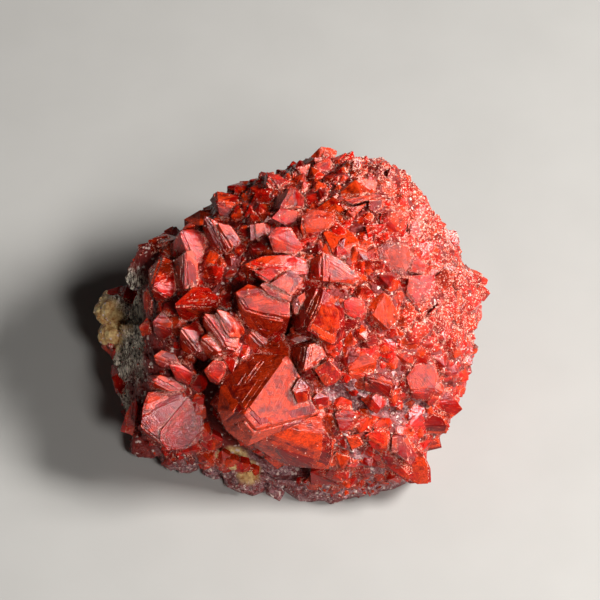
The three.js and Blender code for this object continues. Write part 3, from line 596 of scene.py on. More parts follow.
class Ground:
    """A piece as it was made, gaps and breaks and all, to stand crystals and grains on."""

    ABOVE = 8  # how far over the smooth crust the way down starts
    REACH = 26

    def __init__(self, piece):
        mesh = piece.data
        points = np.empty(3 * len(mesh.vertices), np.float32)
        mesh.vertices.foreach_get("co", points)
        places = to_face(points.reshape(-1, 3).astype(float) / MM)
        self.tree = BVHTree.FromPolygons(places.tolist(), [tuple(face.vertices) for face in mesh.polygons])

    def under(self, direction):
        """The place and facing of the ground that is met first from outside, and how far it lies below the
        smooth crust."""
        start = on_crust(direction) + self.ABOVE * crust_normal(direction)
        found = self.tree.ray_cast(Vector(start), Vector(-crust_normal(direction)), self.REACH)
        place, facing, _, depth = found
        return (None, None, 0) if place is None else (np.array(place), np.array(facing), depth - self.ABOVE)


def deepest(radius):
    """How far below the smooth crust a crystal may stand: fine ones go deeper into gaps and breaks."""
    return max(DEEP_LEAST, DEEP_MOST - DEEP_PER_RADIUS * radius) + (DEEP_IF_FINE if radius < FINE else 0)


def fill(stems, ground, kind):
    """Crystals of one kind wherever the ground has room between those that stand."""
    rng = np.random.default_rng(kind.seed)
    made = []
    for direction in even_directions(kind.tries):
        direction = unit(direction + rng.normal(0, SCATTER, 3))
        radius = kind.radii[0] + (kind.radii[1] - kind.radii[0]) * rng.uniform() ** 2
        height = radius * rng.uniform(*kind.heights)
        sway = rng.normal(0, kind.lean, 3)
        turn = 60 * rng.uniform()
        root, facing, depth = ground.under(direction)
        if root is None or to_part(root)[2] < kind.lowest or depth > deepest(radius):
            continue
        if radius > FINE and (root - WALL_POINT) @ np.array(WALL_FACING) > -CLEAR_OF_WALL:
            continue
        if (stems.room(root) < kind.spacing * (stems.radius + radius)).any():
            continue
        axis = unit(unit(facing + SQUARE_TO_CRUST * crust_normal(direction)) + sway)
        made.append((root, axis, radius, height, turn))
        stems.rows.append(made[-1][:4])
        if len(made) % stems.PACK_EVERY == 0:
            stems.pack()
    stems.pack()
    return made


WAVES_SUMMED = 9


def uneven(points, seed, waves):
    """A smooth random rise at each point: sums of waves, each (length, size) in mm."""
    rng = np.random.default_rng(seed)
    rise = np.zeros(len(points))
    for length, size in waves:
        for _ in range(WAVES_SUMMED):
            way = unit(rng.normal(size=3)) * 2 * math.pi / (length * rng.uniform(0.7, 1.4))
            rise += size / math.sqrt(WAVES_SUMMED) * np.sin(points @ way + rng.uniform(0, 2 * math.pi))
    return rise


# ---- solids as Blender meshes ----
def linked(name, mesh, material):
    """A mesh as an object in the scene, with the marks that every solid here carries."""
    if "growth" not in mesh.uv_layers:
        mesh.uv_layers.new(name="growth")
    if "tone" not in mesh.attributes:
        mesh.attributes.new("tone", "FLOAT", "FACE")
    mesh.materials.append(material)
    piece = bpy.data.objects.new(name, mesh)
    bpy.context.scene.collection.objects.link(piece)
    return piece


def from_bmesh(name, bm, material):
    bmesh.ops.recalc_face_normals(bm, faces=bm.faces)
    mesh = bpy.data.meshes.new(name)
    bm.to_mesh(mesh)
    bm.free()
    return linked(name, mesh, material)


class Heap:
    """Many closed solids of the face's frame, on their way into one mesh."""

    def __init__(self):
        self.corners, self.rings, self.maps, self.tones = [], [], [], []
        self.count = 0

    def add(self, solid, turn=np.eye(3), place=(0, 0, 0), size=1.0, tone=0.5):
        corners, rings, maps = solid
        self.corners.append(size * corners @ turn.T + place)
        self.rings += [ring + self.count for ring in rings]
        shift = 7.3 * self.count % 97  # so that no two have the same growth lines
        self.maps += [size * flat + shift for flat in maps]
        self.tones += [tone] * len(rings)
        self.count += len(corners)

    def made(self, name, material):
        mesh = bpy.data.meshes.new(name)
        mesh.from_pydata(to_part(np.vstack(self.corners)) * MM, [], [ring.tolist() for ring in self.rings])
        growth = mesh.uv_layers.new(name="growth")
        growth.uv.foreach_set("vector", np.vstack(self.maps).astype(np.float32).ravel())
        tone = mesh.attributes.new("tone", "FLOAT", "FACE")
        tone.data.foreach_set("value", np.array(self.tones, np.float32))
        return linked(name, mesh, material)


def merge(piece, other, operation="UNION"):
    """Joins the other object to the piece, or cuts it away, and takes the other out of the scene."""
    cut = piece.modifiers.new(operation, "BOOLEAN")
    cut.operation, cut.object, cut.solver, cut.material_mode = operation, other, "MANIFOLD", "TRANSFER"
    bpy.context.view_layer.update()
    depsgraph = bpy.context.evaluated_depsgraph_get()
    seen = piece.evaluated_get(depsgraph)
    mesh = bpy.data.meshes.new_from_object(seen, preserve_all_data_layers=True, depsgraph=depsgraph)
    piece.modifiers.clear()
    old, piece.data = piece.data, mesh
    bpy.data.meshes.remove(old)
    bpy.data.meshes.remove(other.data)
    return piece


def without_hollows(piece):
    """Keeps the outer skin alone: closed hollows and loose chips go."""
    mesh = piece.data
    edges = np.empty(2 * len(mesh.edges), np.int32)
    mesh.edges.foreach_get("vertices", edges)
    a, b = edges.reshape(-1, 2).T
    island = np.arange(len(mesh.vertices))
    while True:
        lowest = np.minimum(island[a], island[b])
        before = island.copy()
        np.minimum.at(island, a, lowest)
        np.minimum.at(island, b, lowest)
        island = island[island]
        if (island == before).all():
            break
    kept = np.bincount(island).argmax()
    bm = bmesh.new()
    bm.from_mesh(mesh)
    bm.verts.ensure_lookup_table()
    bmesh.ops.delete(bm, geom=[bm.verts[i] for i in np.flatnonzero(island != kept)], context="VERTS")
    bm.to_mesh(mesh)
    bm.free()


# ---- the crust: a dome of granular quartz, its broken wall and back, and the gaps sunk in it ----
CRUST_WAVES = ((9.0, 0.5), (4.0, 0.45), (2.2, 0.3))  # lengths and sizes, as below
WALL_WAVES = ((11.0, 0.5), (4.5, 0.5), (2.4, 0.35))
CRUST_SEED, WALL_SEED, LUMP_SEED = 21, 31, 50
# The blocks that break the crust off: half width, depth, and how many squares their fronts have each way.
BLOCK_HALF, BLOCK_DEEP, BLOCK_SQUARES = 55, 60, 60
LUMP_SQUASH = (1, 0.85, 1.1)
LUMPS_APART = 40  # in the waves, so that no two lumps are alike
BALL_CORNERS = 40
GROUND_HALF = 0.1  # m


def crust_body(material):
    bm = bmesh.new()
    bmesh.ops.create_icosphere(bm, subdivisions=6, radius=1)
    direction = np.array([vert.co.normalized() for vert in bm.verts])
    points = on_crust(direction)
    points += crust_normal(direction) * uneven(points, CRUST_SEED, CRUST_WAVES)[:, None]
    for vert, place in zip(bm.verts, to_part(points) * MM):
        vert.co = place
    return from_bmesh("quartz_crust", bm, material)


def block_beyond(name, point, facing, seed, material):
    """A thick block beyond a plane, whose front is broken unevenly."""
    facing = unit(facing)
    turn = np.array(Vector(OUT).rotation_difference(Vector(facing)).to_matrix())
    bm = bmesh.new()
    bmesh.ops.create_grid(bm, x_segments=BLOCK_SQUARES, y_segments=BLOCK_SQUARES, size=BLOCK_HALF)
    front = list(bm.verts)
    flat = np.array([vert.co for vert in front])
    rise = uneven(flat, seed, WALL_WAVES)
    grown = bmesh.ops.extrude_face_region(bm, geom=list(bm.faces), use_keep_orig=True)["geom"]
    for vert, up in zip(front, rise):
        vert.co.z = up
    for vert in grown:
        if isinstance(vert, bmesh.types.BMVert):
            vert.co.z = BLOCK_DEEP
    for vert in bm.verts:
        vert.co = to_part(turn @ np.array(vert.co) + point) * MM
    return from_bmesh(name, bm, material)


def cut_wall_and_back(crust, material):
    facing = unit(WALL_FACING)
    lower = np.array(WALL_POINT)
    upper = lower - LEDGE_DEPTH * facing
    upper[1] = LEDGE_ABOVE + BLOCK_HALF
    fronts = [(lower, facing), (upper, facing)]
    fronts += [(RIM_MIDDLE + distance * unit(way), way) for distance, way in BREAKS]
    for i, (point, way) in enumerate(fronts):
        merge(crust, block_beyond("break", point, way, WALL_SEED + i, material), "DIFFERENCE")


def cut_gaps(crust, material):
    """A gap is cut by rounded, upright slabs, one between each two of its places."""
    ball = even_directions(BALL_CORNERS)
    for half_width, depth, line in GAPS:
        ends = []
        for u, v in line:
            floor = crust_height(u, v) - depth + half_width
            ends.append([ball * half_width + (u, v, w) for w in (floor, floor + depth + CUTTER_ABOVE)])
        for start, end in zip(ends, ends[1:]):
            heap = Heap()
            heap.add(hull(np.vstack(start + end)))
            merge(crust, heap.made("gap", material), "DIFFERENCE")


def add_lumps(crust, material):
    for i, (u, v, w, radius) in enumerate(LUMPS):
        bm = bmesh.new()
        bmesh.ops.create_icosphere(bm, subdivisions=3, radius=radius)
        points = np.array([vert.co for vert in bm.verts])
        rise = uneven(points + LUMPS_APART * i, LUMP_SEED + i, CRUST_WAVES)
        points += points / radius * rise[:, None]
        for vert, place in zip(bm.verts, to_part(points * LUMP_SQUASH + (u, v, w)) * MM):
            vert.co = place
        merge(crust, from_bmesh("lump", bm, material))


# ---- crystals ----
def with_steps(worn, plain, turn, place, rng, count, steps):
    """A crystal and the plainer copies of it that grew on its faces and kept its direction."""
    tone = rng.uniform()
    yield worn if is_closed(worn) else plain, turn, place, 1.0, tone
    for at, scale in growth_steps(plain, count, rng, steps):
        yield plain, turn, place + turn @ at, scale, tone + rng.normal(0, STEP_SHIFT)


def broad_solids(rng):
    for corners in BROAD_CRYSTALS[1:]:
        spread = np.array(corners)[:, :2].std(0).prod()
        count = int(np.clip(STEPS_PER_SPREAD * spread, *BROAD_STEP_COUNT))
        worn, plain = broad_crystal(corners, WORN), broad_crystal(corners)
        yield from with_steps(worn, plain, np.eye(3), np.zeros(3), rng, count, BROAD_STEPS)


def small_solids(crystals, rng):
    for i, (root, axis, radius, height, turn) in enumerate(crystals):
        worn, plain = (small_shape(radius, height, numbers_from(1 + i), width) for width in (WORN, 0))
        frame_turn = crystal_frame(axis, turn)
        yield from with_steps(worn, plain, frame_turn, root, rng, SMALL_STEP_COUNT, SMALL_STEPS)


def templates_of(kind):
    """Some low points of radius 1, to be sized for the filling."""
    spread = enumerate(np.linspace(*kind.heights, TEMPLATES), 1000)
    made = (small_shape(1.0, height, numbers_from(seed), 0.0, TEMPLATE_ROOT) for seed, height in spread)
    return [solid for solid in made if is_closed(solid)]


def filling_solids(crystals, kind, rng, step_count=0):
    templates = templates_of(kind)
    for root, axis, radius, height, turn in crystals:
        solid = templates[rng.integers(len(templates))]
        frame_turn, tone = crystal_frame(axis, turn), rng.uniform()
        yield solid, frame_turn, root, radius, tone
        for at, scale in growth_steps(solid, step_count, rng, FILLING_STEPS):
            place = root + radius * frame_turn @ at
            yield solid, frame_turn, place, radius * scale, tone + rng.normal(0, STEP_SHIFT)


def apart_groups(solids):
    """Puts solids into as few heaps as will keep those in each from touching."""
    groups = []
    for solid, turn, place, size, tone in solids:
        corners = size * solid[0] @ turn.T + place
        middle = (corners.max(0) + corners.min(0)) / 2
        reach = np.linalg.norm(corners - middle, axis=1).max()
        for heap, middles, reaches in groups:
            if (np.linalg.norm(np.array(middles) - middle, axis=1) > np.array(reaches) + reach).all():
                break
        else:
            heap, middles, reaches = Heap(), [], []
            groups.append((heap, middles, reaches))
        heap.add(solid, turn, place, size, tone)
        middles.append(middle)
        reaches.append(reach)
    return [heap for heap, _, _ in groups]


def join_groups(cluster, solids, name, material):
    for heap in apart_groups(solids):
        merge(cluster, heap.made(name, material))


def flat_ground_cut(piece, material):
    bm = bmesh.new()
    bmesh.ops.create_cube(bm, size=2 * GROUND_HALF, matrix=Matrix.Translation((0, 0, -GROUND_HALF)))
    merge(piece, from_bmesh("ground", bm, material), "DIFFERENCE")


# ---- grains: tiny quartz points that grew low down between the crystals, and over the palest places ----
GRAIN_RADIUS = (0.09, 0.24)
GRAIN_LENGTH = 1.3  # per radius
GRAIN_LEAN = 0.5
GRAIN_LIFT = 0.05
GRAIN_TRIES = 110000
GRAINS_AT_MOST = 16000
GRAINS_OVER = 2.0  # the lowest that they grow over the ground
LOOK_REACH = 1.4  # a crystal nearer than this makes a place hollow
LOOKS, LOOK_FROM, LOOK_OUTWARD = 4, 0.08, 0.7  # looks round each place, mm off it, and how much they face out
CHANCES = (0.0, 0.0, 0.12, 0.6, 0.5)  # that a grain grew, by how many looks meet a crystal
PALE_CHANCE = 0.2  # and on top of it in the middle of a pale place
# The rays that find places: their slant, how far over the crust they start, and how far they reach.
SLANT, START_OVER, DOWN_REACH = 0.4, 12, 40


def share_in(places, spots):
    """1 in the middle of any of these ellipses on the face, and 0 outside them."""
    spots = np.array(spots, float)
    shares = [1 - np.linalg.norm((places[:, :2] - spot[:2]) / spot[2:], axis=1) for spot in spots]
    return np.clip(np.max(shares, axis=0), 0, 1)


def grain_places(cluster, rng):
    """Places on the surface, facing out, that are hollow enough for grains, or pale with them. Slanting rays
    find them, so the order that the faces are in makes no difference."""
    tree = Ground(cluster).tree
    direction = rng.normal(size=(GRAIN_TRIES, 3))
    direction /= np.linalg.norm(direction, axis=1, keepdims=True)
    inward = -crust_normal(direction) + rng.normal(0, SLANT, (GRAIN_TRIES, 3))
    ways = rng.normal(size=(GRAIN_TRIES, LOOKS, 3))
    ways /= np.linalg.norm(ways, axis=2, keepdims=True)
    luck = rng.uniform(size=GRAIN_TRIES)
    starts = on_crust(direction) + START_OVER * crust_normal(direction)
    rays = ((Vector(start), Vector(way).normalized()) for start, way in zip(starts, inward))
    found = [tree.ray_cast(start, way, DOWN_REACH) for start, way in rays]
    met = [i for i, (place, *_) in enumerate(found) if place is not None]
    places = np.array([found[i][0] for i in met])
    normals = np.array([found[i][1] for i in met])
    pale = share_in(places, PINK_PLACES + PEACH_PLACES)
    high = to_part(places)[:, 2] > GRAINS_OVER
    kept = []
    for i in np.flatnonzero(high):
        start = Vector(places[i] + LOOK_FROM * normals[i])
        around = [Vector(way + LOOK_OUTWARD * normals[i]).normalized() for way in ways[met[i]]]
        hits = sum(tree.ray_cast(start, way, LOOK_REACH)[0] is not None for way in around)
        if luck[met[i]] < CHANCES[hits] + PALE_CHANCE * pale[i]:
            kept.append(i)
    kept = kept[:GRAINS_AT_MOST]
    return places[kept], normals[kept]


def sugar_grains(cluster, rng, material):
    """Grains with eight faces each, leaning this way and that."""
    places, normals = grain_places(cluster, rng)
    count = len(places)
    radius = GRAIN_RADIUS[0] + (GRAIN_RADIUS[1] - GRAIN_RADIUS[0]) * rng.uniform(size=count) ** 2
    tips = np.array([(1, 0, 0), (-1, 0, 0), (0, 1, 0), (0, -1, 0), (0, 0, 1), (0, 0, -1)])
    tips = tips * (1, 1, GRAIN_LENGTH)
    sides = np.array([(0, 2, 4), (2, 1, 4), (1, 3, 4), (3, 0, 4), (2, 0, 5), (1, 2, 5), (3, 1, 5), (0, 3, 5)])
    along = normals + rng.normal(0, GRAIN_LEAN, (count, 3))
    along /= np.linalg.norm(along, axis=1, keepdims=True)
    across = np.cross(along, rng.normal(size=(count, 3)))
    across /= np.linalg.norm(across, axis=1, keepdims=True)
    turns = np.stack([across, np.cross(along, across), along], 2)
    middles = places + GRAIN_LIFT * normals
    corners = np.einsum("nij,kj->nki", turns, tips) * radius[:, None, None] + middles[:, None]
    faces = (sides[None] + len(tips) * np.arange(count)[:, None, None]).reshape(-1, 3)
    mesh = bpy.data.meshes.new("sugar_grains")
    mesh.from_pydata(to_part(corners.reshape(-1, 3)) * MM, [], faces.tolist())
    tone = mesh.attributes.new("tone", "FLOAT", "FACE")
    tone.data.foreach_set("value", np.repeat(rng.uniform(size=count), len(sides)).astype(np.float32))
    return linked("sugar_grains", mesh, material)


# ---- materials ----
def linear(hex_colour):
    """An sRGB hex colour as linear red, green, blue and alpha."""
    channels = [int(hex_colour[i : i + 2], 16) / 255 for i in (1, 3, 5)]
    return [c / 12.92 if c <= 0.04045 else ((c + 0.055) / 1.055) ** 2.4 for c in channels] + [1.0]


def add(tree, kind, inputs, out=0, **settings):
    """Adds a node with its settings, fills its inputs with values, colours or other nodes' outputs, and gives
    back one of its own outputs."""
    node = tree.nodes.new(kind)
    for name, value in settings.items():
        setattr(node, name, value)
    for name, value in inputs.items():
        if isinstance(value, bpy.types.NodeSocket):
            tree.links.new(value, node.inputs[name])
        else:
            node.inputs[name].default_value = linear(value) if isinstance(value, str) else value
    return node.outputs[out] if node.outputs else None


def new_material(name):
    material = bpy.data.materials.new(name)
    material.use_nodes = True
    material.node_tree.nodes.clear()
    return material, material.node_tree


def finished(material, surface):
    """The material, with its shader's inputs filled and joined to its output."""
    tree = material.node_tree
    add(tree, "ShaderNodeOutputMaterial", {"Surface": add(tree, "ShaderNodeBsdfPrincipled", surface)})
    return material


NOISE, RANGE, SUM, MIX = "ShaderNodeTexNoise", "ShaderNodeMapRange", "ShaderNodeMath", "ShaderNodeMix"
CELLS, MOVE = "ShaderNodeTexVoronoi", "ShaderNodeMapping"
# Settings: a Mix node's, with its factor 0, first colour 6 and second 7; a Range node's, from 1 and 2 to 3
# and 4; a Math node's, 0 times 1 plus 2, 0 times 1, and the larger of 0 and 1; and a Mapping node's.
COLOUR = {"data_type": "RGBA", "out": 2}
SMOOTH = {"interpolation_type": "SMOOTHSTEP"}
TIMES_PLUS = {"operation": "MULTIPLY_ADD"}
TIMES = {"operation": "MULTIPLY"}
LARGER = {"operation": "MAXIMUM"}
TEXTURE = {"vector_type": "TEXTURE"}
QUARTZ_IOR = 1.544
CLOUD, FLECK, HEMATITE_GRAIN, CRUST_GRAIN, CRUST_CELL = 7, 1.3, 0.4, 0.35, 0.5  # widths in mm
HOLLOW_REACH = 1.3  # how near a hollow's sides are


def in_millimetres(tree):
    """The place on the face's own frame, in mm."""
    place = add(tree, "ShaderNodeTexCoord", {}, "Object")
    middle = [MM * c for c in FACE_MIDDLE]
    frame_of_face = {"Vector": place, "Location": middle, "Rotation": (LEAN, 0, 0), "Scale": (MM,) * 3}
    return add(tree, MOVE, frame_of_face, **TEXTURE)


def clouds_and_flecks(tree, here):
    clouds = add(tree, NOISE, {"Vector": here, "Scale": 1 / CLOUD, "Detail": 4.0})
    return clouds, add(tree, NOISE, {"Vector": here, "Scale": 1 / FLECK, "Detail": 4.0, "Roughness": 0.65})


RAGGED = 1.6  # how much clouds move a patch's edge
PATCH_EDGE = 1 + RAGGED / 2
ENDLESS = 1000  # an ellipse's half depth, straight through the crust


def patches(tree, here, clouds, spots, soft=0.5):
    """1 inside any of these ellipses on the face, [u, v, half width, half height], fading out over ragged
    edges."""
    whole = None
    for u, v, across, up in spots:
        ellipse = {"Vector": here, "Location": (u, v, 0), "Scale": (across, up, ENDLESS)}
        near = add(tree, MOVE, ellipse, **TEXTURE)
        away = add(tree, "ShaderNodeVectorMath", {0: near}, 1, operation="LENGTH")
        ragged = add(tree, SUM, {0: clouds, 1: RAGGED, 2: away}, **TIMES_PLUS)
        fade = {0: ragged, 1: PATCH_EDGE + soft, 2: PATCH_EDGE - soft, 3: 0.0, 4: 1.0}
        inside = add(tree, RANGE, fade, **SMOOTH)
        whole = inside if whole is None else add(tree, SUM, {0: whole, 1: inside}, **LARGER)
    return whole


# Where pale quartz, sugary with tiny points, grew over the red. The pink places also carry a painted pink
# sheen on the lit right side.
PINK_PLACES = [(27, 22, 7, 9), (30, 4, 8, 8), (24, 30, 8, 5)]
PEACH_PLACES = [(18, 33, 8, 4), (-29, 13, 4, 4), (24, 27, 5, 5)]
# The crust's own places: hollows between the crystals, the broken wall, and the rusty rind.
PURPLE_PLACES = [(14, -14, 11, 5), (6, -30, 20, 6), (-16, -29, 10, 4), (24, -17, 5, 4)]
WALL_PLACES = [(-34.5, 0, 5, 15)]
RIND_PLACES = [(-38, 0.6, 4.5, 6), (-12.4, -26.4, 2.8, 2.2), (-8.6, -29.4, 2.4, 2)]


def hematite_quartz():
    """Quartz filled with hematite, as it grew: glassy faces with growth lines along their long edges, over a
    deep red that is cloudy inside, with a pale quartz dusting low down between the crystals whose specks are
    partly painted sparkle, and a painted pink sheen on the lit right side."""
    material, tree = new_material("hematite_quartz")
    here = in_millimetres(tree)
    tone = add(tree, "ShaderNodeAttribute", {}, "Fac", attribute_name="tone")
    growth = add(tree, "ShaderNodeUVMap", {}, uv_map="growth")
    other = add(tree, "ShaderNodeTexWhiteNoise", {"W": tone}, noise_dimensions="1D")
    clouds, flecks = clouds_and_flecks(tree, here)
    grain = add(tree, NOISE, {"Vector": here, "Scale": 1 / HEMATITE_GRAIN, "Detail": 2.0, "Roughness": 0.7})
    reach = {"Distance": HOLLOW_REACH * MM}
    open_air = add(tree, "ShaderNodeAmbientOcclusion", reach, "AO", samples=6, only_local=True)
    low = add(tree, SUM, {0: flecks, 1: -0.5, 2: open_air}, **TIMES_PLUS)
    low = add(tree, RANGE, {0: low, 1: 0.66, 2: 0.2, 3: 0.0, 4: 1.0}, **SMOOTH)

    # Colour: deep red to orange-red from crystal to crystal, cloudy and flecked inside.
    shade = add(tree, SUM, {0: clouds, 1: 1.2, 2: tone}, **TIMES_PLUS)
    red = add(tree, RANGE, {0: shade, 1: 0.6, 2: 1.5, 3: 0.0, 4: 1.0}, **SMOOTH)
    red = add(tree, MIX, {0: red, 6: "#7a0302", 7: "#cf1609"}, **COLOUR)
    warm = add(tree, SUM, {0: flecks, 1: 1.6, 2: other}, **TIMES_PLUS)
    warm = add(tree, RANGE, {0: warm, 1: 1.15, 2: 1.75, 3: 0.0, 4: 0.85}, **SMOOTH)
    red = add(tree, MIX, {0: warm, 6: red, 7: "#e4400f"}, **COLOUR)
    dark = add(tree, NOISE, {"Vector": here, "Scale": 1 / 1.9, "Detail": 4.0, "Roughness": 0.65})
    dark = add(tree, RANGE, {0: dark, 1: 0.44, 2: 0.72, 3: 0.0, 4: 0.9}, **SMOOTH)
    red = add(tree, MIX, {0: dark, 6: red, 7: "#340101"}, **COLOUR)

    mottle = add(tree, RANGE, {0: grain, 1: 0.38, 2: 0.66, 3: 0.0, 4: 0.6})
    red = add(tree, MIX, {0: mottle, 6: red, 7: "#6a0603"}, **COLOUR)

    # Growth lines 0.25 mm apart: real ones are finer, and are drawn as coarse as they need to show.
    lines = add(tree, MOVE, {"Vector": growth, "Scale": (0.3, 4.0, 1.0)})
    lines = add(tree, NOISE, {"Vector": lines, "Scale": 1.0, "Detail": 3.0, "Roughness": 0.6})
    scratch = add(tree, RANGE, {0: lines, 1: 0.57, 2: 0.68, 3: 0.0, 4: 0.5})
    red = add(tree, MIX, {0: scratch, 6: red, 7: "#e4593c"}, **COLOUR)

    # A pale quartz dusting: grains of 0.3 mm, thick in the recesses and thin elsewhere. Its pale specks are
    # also painted sparkle, standing in for glints on the grains.
    cells = add(tree, CELLS, {"Vector": here, "Scale": 1 / 0.22}, "Color")
    chance = add(tree, "ShaderNodeSeparateColor", {"Color": cells}, "Red")
    pink = patches(tree, here, clouds, PINK_PLACES)
    peach = patches(tree, here, clouds, PEACH_PLACES)
    speck_share = add(tree, SUM, {0: pink, 1: peach}, **LARGER)
    speck_share = add(tree, SUM, {0: speck_share, 1: 0.15, 2: 0.0}, **TIMES_PLUS)
    thick = add(tree, RANGE, {0: dark, 1: 0.0, 2: 0.9, 3: 0.0, 4: 0.004})
    speck_share = add(tree, SUM, {0: speck_share, 1: thick})
    speck_share = add(tree, SUM, {0: low, 1: 0.5, 2: speck_share}, **TIMES_PLUS)
    speck = add(tree, SUM, {0: chance, 1: speck_share}, operation="LESS_THAN")
    dust_and_sparkle = add(tree, MIX, {0: grain, 6: "#c8441c", 7: "#fbd2bc"}, **COLOUR)
    red = add(tree, MIX, {0: speck, 6: red, 7: dust_and_sparkle}, **COLOUR)
    # Painted sheen: a mottled pink veil over the pink places on the lit right side, partly their pale quartz
    # coat and partly the satin sheen of the light.
    pink_coat_and_sheen = add(tree, SUM, {0: pink, 1: grain}, **TIMES)
    pink_coat_and_sheen = add(tree, SUM, {0: pink_coat_and_sheen, 1: 0.28}, **TIMES)
    red = add(tree, MIX, {0: pink_coat_and_sheen, 6: red, 7: "#c85e54"}, **COLOUR)

    # Some crystals are glassy and some satin, and dust is matt.
    matt = add(tree, RANGE, {0: other, 1: 0.3, 2: 1.0, 3: 0.03, 4: 0.15})
    matt = add(tree, SUM, {0: flecks, 1: 0.1, 2: matt}, **TIMES_PLUS)
    matt = add(tree, SUM, {0: speck, 1: 0.2, 2: matt}, **TIMES_PLUS, use_clamp=True)
    pits = add(tree, NOISE, {"Vector": here, "Scale": 1 / 0.8, "Detail": 4.0, "Roughness": 0.65})
    relief = add(tree, SUM, {0: lines, 1: 0.2, 2: 0.0}, **TIMES_PLUS)
    relief = add(tree, SUM, {0: pits, 1: 0.12, 2: relief}, **TIMES_PLUS)
    relief = add(tree, SUM, {0: grain, 1: 0.03, 2: relief}, **TIMES_PLUS)
    relief = add(tree, SUM, {0: speck, 1: 0.04, 2: relief}, **TIMES_PLUS)
    bumpy = add(tree, "ShaderNodeBump", {"Height": relief, "Strength": 0.55, "Distance": 1.0 * MM})
    quartz = {
        "Base Color": red,
        "Roughness": matt,
        "IOR": QUARTZ_IOR,
        "Normal": bumpy,
        "Subsurface Weight": 0.06,
        "Subsurface Radius": (1.0, 0.1, 0.05),
        "Subsurface Scale": 0.8 * MM,
        "Specular IOR Level": 0.3,
    }
    return finished(material, quartz)


def granular_quartz():
    """The crust, sugary quartz that broke and grew: dark red and brown between the crystals, purple-grey in
    the hollows, speckled grey on the broken wall and rusty on the rind."""
    material, tree = new_material("granular_quartz")
    here = in_millimetres(tree)
    clouds, flecks = clouds_and_flecks(tree, here)
    grain = add(tree, NOISE, {"Vector": here, "Scale": 1 / CRUST_GRAIN, "Detail": 3.0, "Roughness": 0.7})
    cells = add(tree, CELLS, {"Vector": here, "Scale": 1 / CRUST_CELL}, "Color")
    chance = add(tree, "ShaderNodeSeparateColor", {"Color": cells}, "Red")
    bulge = add(tree, CELLS, {"Vector": here, "Scale": 1 / CRUST_CELL}, "Distance")

    colour = add(tree, MIX, {0: flecks, 6: "#480603", 7: "#a01a0c"}, **COLOUR)
    brick = add(tree, RANGE, {0: chance, 1: 0.8, 2: 1.0, 3: 0.0, 4: 0.8})
    colour = add(tree, MIX, {0: brick, 6: colour, 7: "#b04028"}, **COLOUR)
    purple = add(tree, MIX, {0: chance, 6: "#4e1e28", 7: "#b4787c"}, **COLOUR)
    frost = add(tree, RANGE, {0: grain, 1: 0.5, 2: 0.64, 3: 0.0, 4: 0.8})
    purple = add(tree, MIX, {0: frost, 6: purple, 7: "#e8c4bc"}, **COLOUR)
    in_hollow = patches(tree, here, clouds, PURPLE_PLACES)
    still_red = add(tree, RANGE, {0: flecks, 1: 0.47, 2: 0.58, 3: 1.0, 4: 0.25}, **SMOOTH)
    in_hollow = add(tree, SUM, {0: in_hollow, 1: still_red}, **TIMES)
    colour = add(tree, MIX, {0: in_hollow, 6: colour, 7: purple}, **COLOUR)
    streaks = add(tree, MOVE, {"Vector": here, "Scale": (3.0, 0.6, 3.0)})
    streaks = add(tree, NOISE, {"Vector": streaks, "Scale": 1.0, "Detail": 5.0, "Roughness": 0.75})
    stone = add(tree, RANGE, {0: streaks, 1: 0.46, 2: 0.58, 3: 0.0, 4: 1.0})
    stone = add(tree, MIX, {0: stone, 6: "#3a1c0c", 7: "#fff0d8"}, **COLOUR)
    on_wall = patches(tree, here, clouds, WALL_PLACES, 0.3)
    colour = add(tree, MIX, {0: on_wall, 6: colour, 7: stone}, **COLOUR)
    rust = add(tree, RANGE, {0: flecks, 1: 0.35, 2: 0.65, 3: 0.0, 4: 1.0})
    rust = add(tree, MIX, {0: rust, 6: "#b0661e", 7: "#fbdc98"}, **COLOUR)
    on_rind = patches(tree, here, clouds, RIND_PLACES, 0.3)
    colour = add(tree, MIX, {0: on_rind, 6: colour, 7: rust}, **COLOUR)

    # Painted glints: about one cell in seventeen of the crust's grains is pale pinkish white, whatever the
    # light.
    painted_glints = add(tree, SUM, {0: chance, 1: 0.94}, operation="GREATER_THAN")
    colour = add(tree, MIX, {0: painted_glints, 6: colour, 7: "#e6cbc0"}, **COLOUR)

    relief = add(tree, SUM, {0: bulge, 1: -0.6, 2: grain}, **TIMES_PLUS)
    bumpy = add(tree, "ShaderNodeBump", {"Height": relief, "Strength": 0.8, "Distance": 0.35 * MM})
    quartz = {
        "Base Color": colour,
        "Roughness": add(tree, RANGE, {0: chance, 1: 0.0, 2: 1.0, 3: 0.3, 4: 0.7}),
        "IOR": QUARTZ_IOR,
        "Normal": bumpy,
    }
    return finished(material, quartz)


def sugar_quartz():
    """Tiny clear-faced quartz points, each its own shade from rusty to white: they give the sparkle."""
    material, tree = new_material("sugar_quartz")
    here = in_millimetres(tree)
    tone = add(tree, "ShaderNodeAttribute", {}, "Fac", attribute_name="tone")
    grain = add(tree, NOISE, {"Vector": here, "Scale": 1 / HEMATITE_GRAIN, "Detail": 2.0, "Roughness": 0.7})
    pale = add(tree, RANGE, {0: tone, 1: 0.35, 2: 0.95, 3: 0.0, 4: 1.0})
    colour = add(tree, MIX, {0: grain, 6: "#a31408", 7: "#d8401c"}, **COLOUR)
    colour = add(tree, MIX, {0: pale, 6: colour, 7: "#f6d9c6"}, **COLOUR)
    bumpy = add(tree, "ShaderNodeBump", {"Height": grain, "Strength": 0.3, "Distance": 0.1 * MM})
    quartz = {"Base Color": colour, "Roughness": 0.12, "IOR": QUARTZ_IOR, "Normal": bumpy}
    return finished(material, quartz)


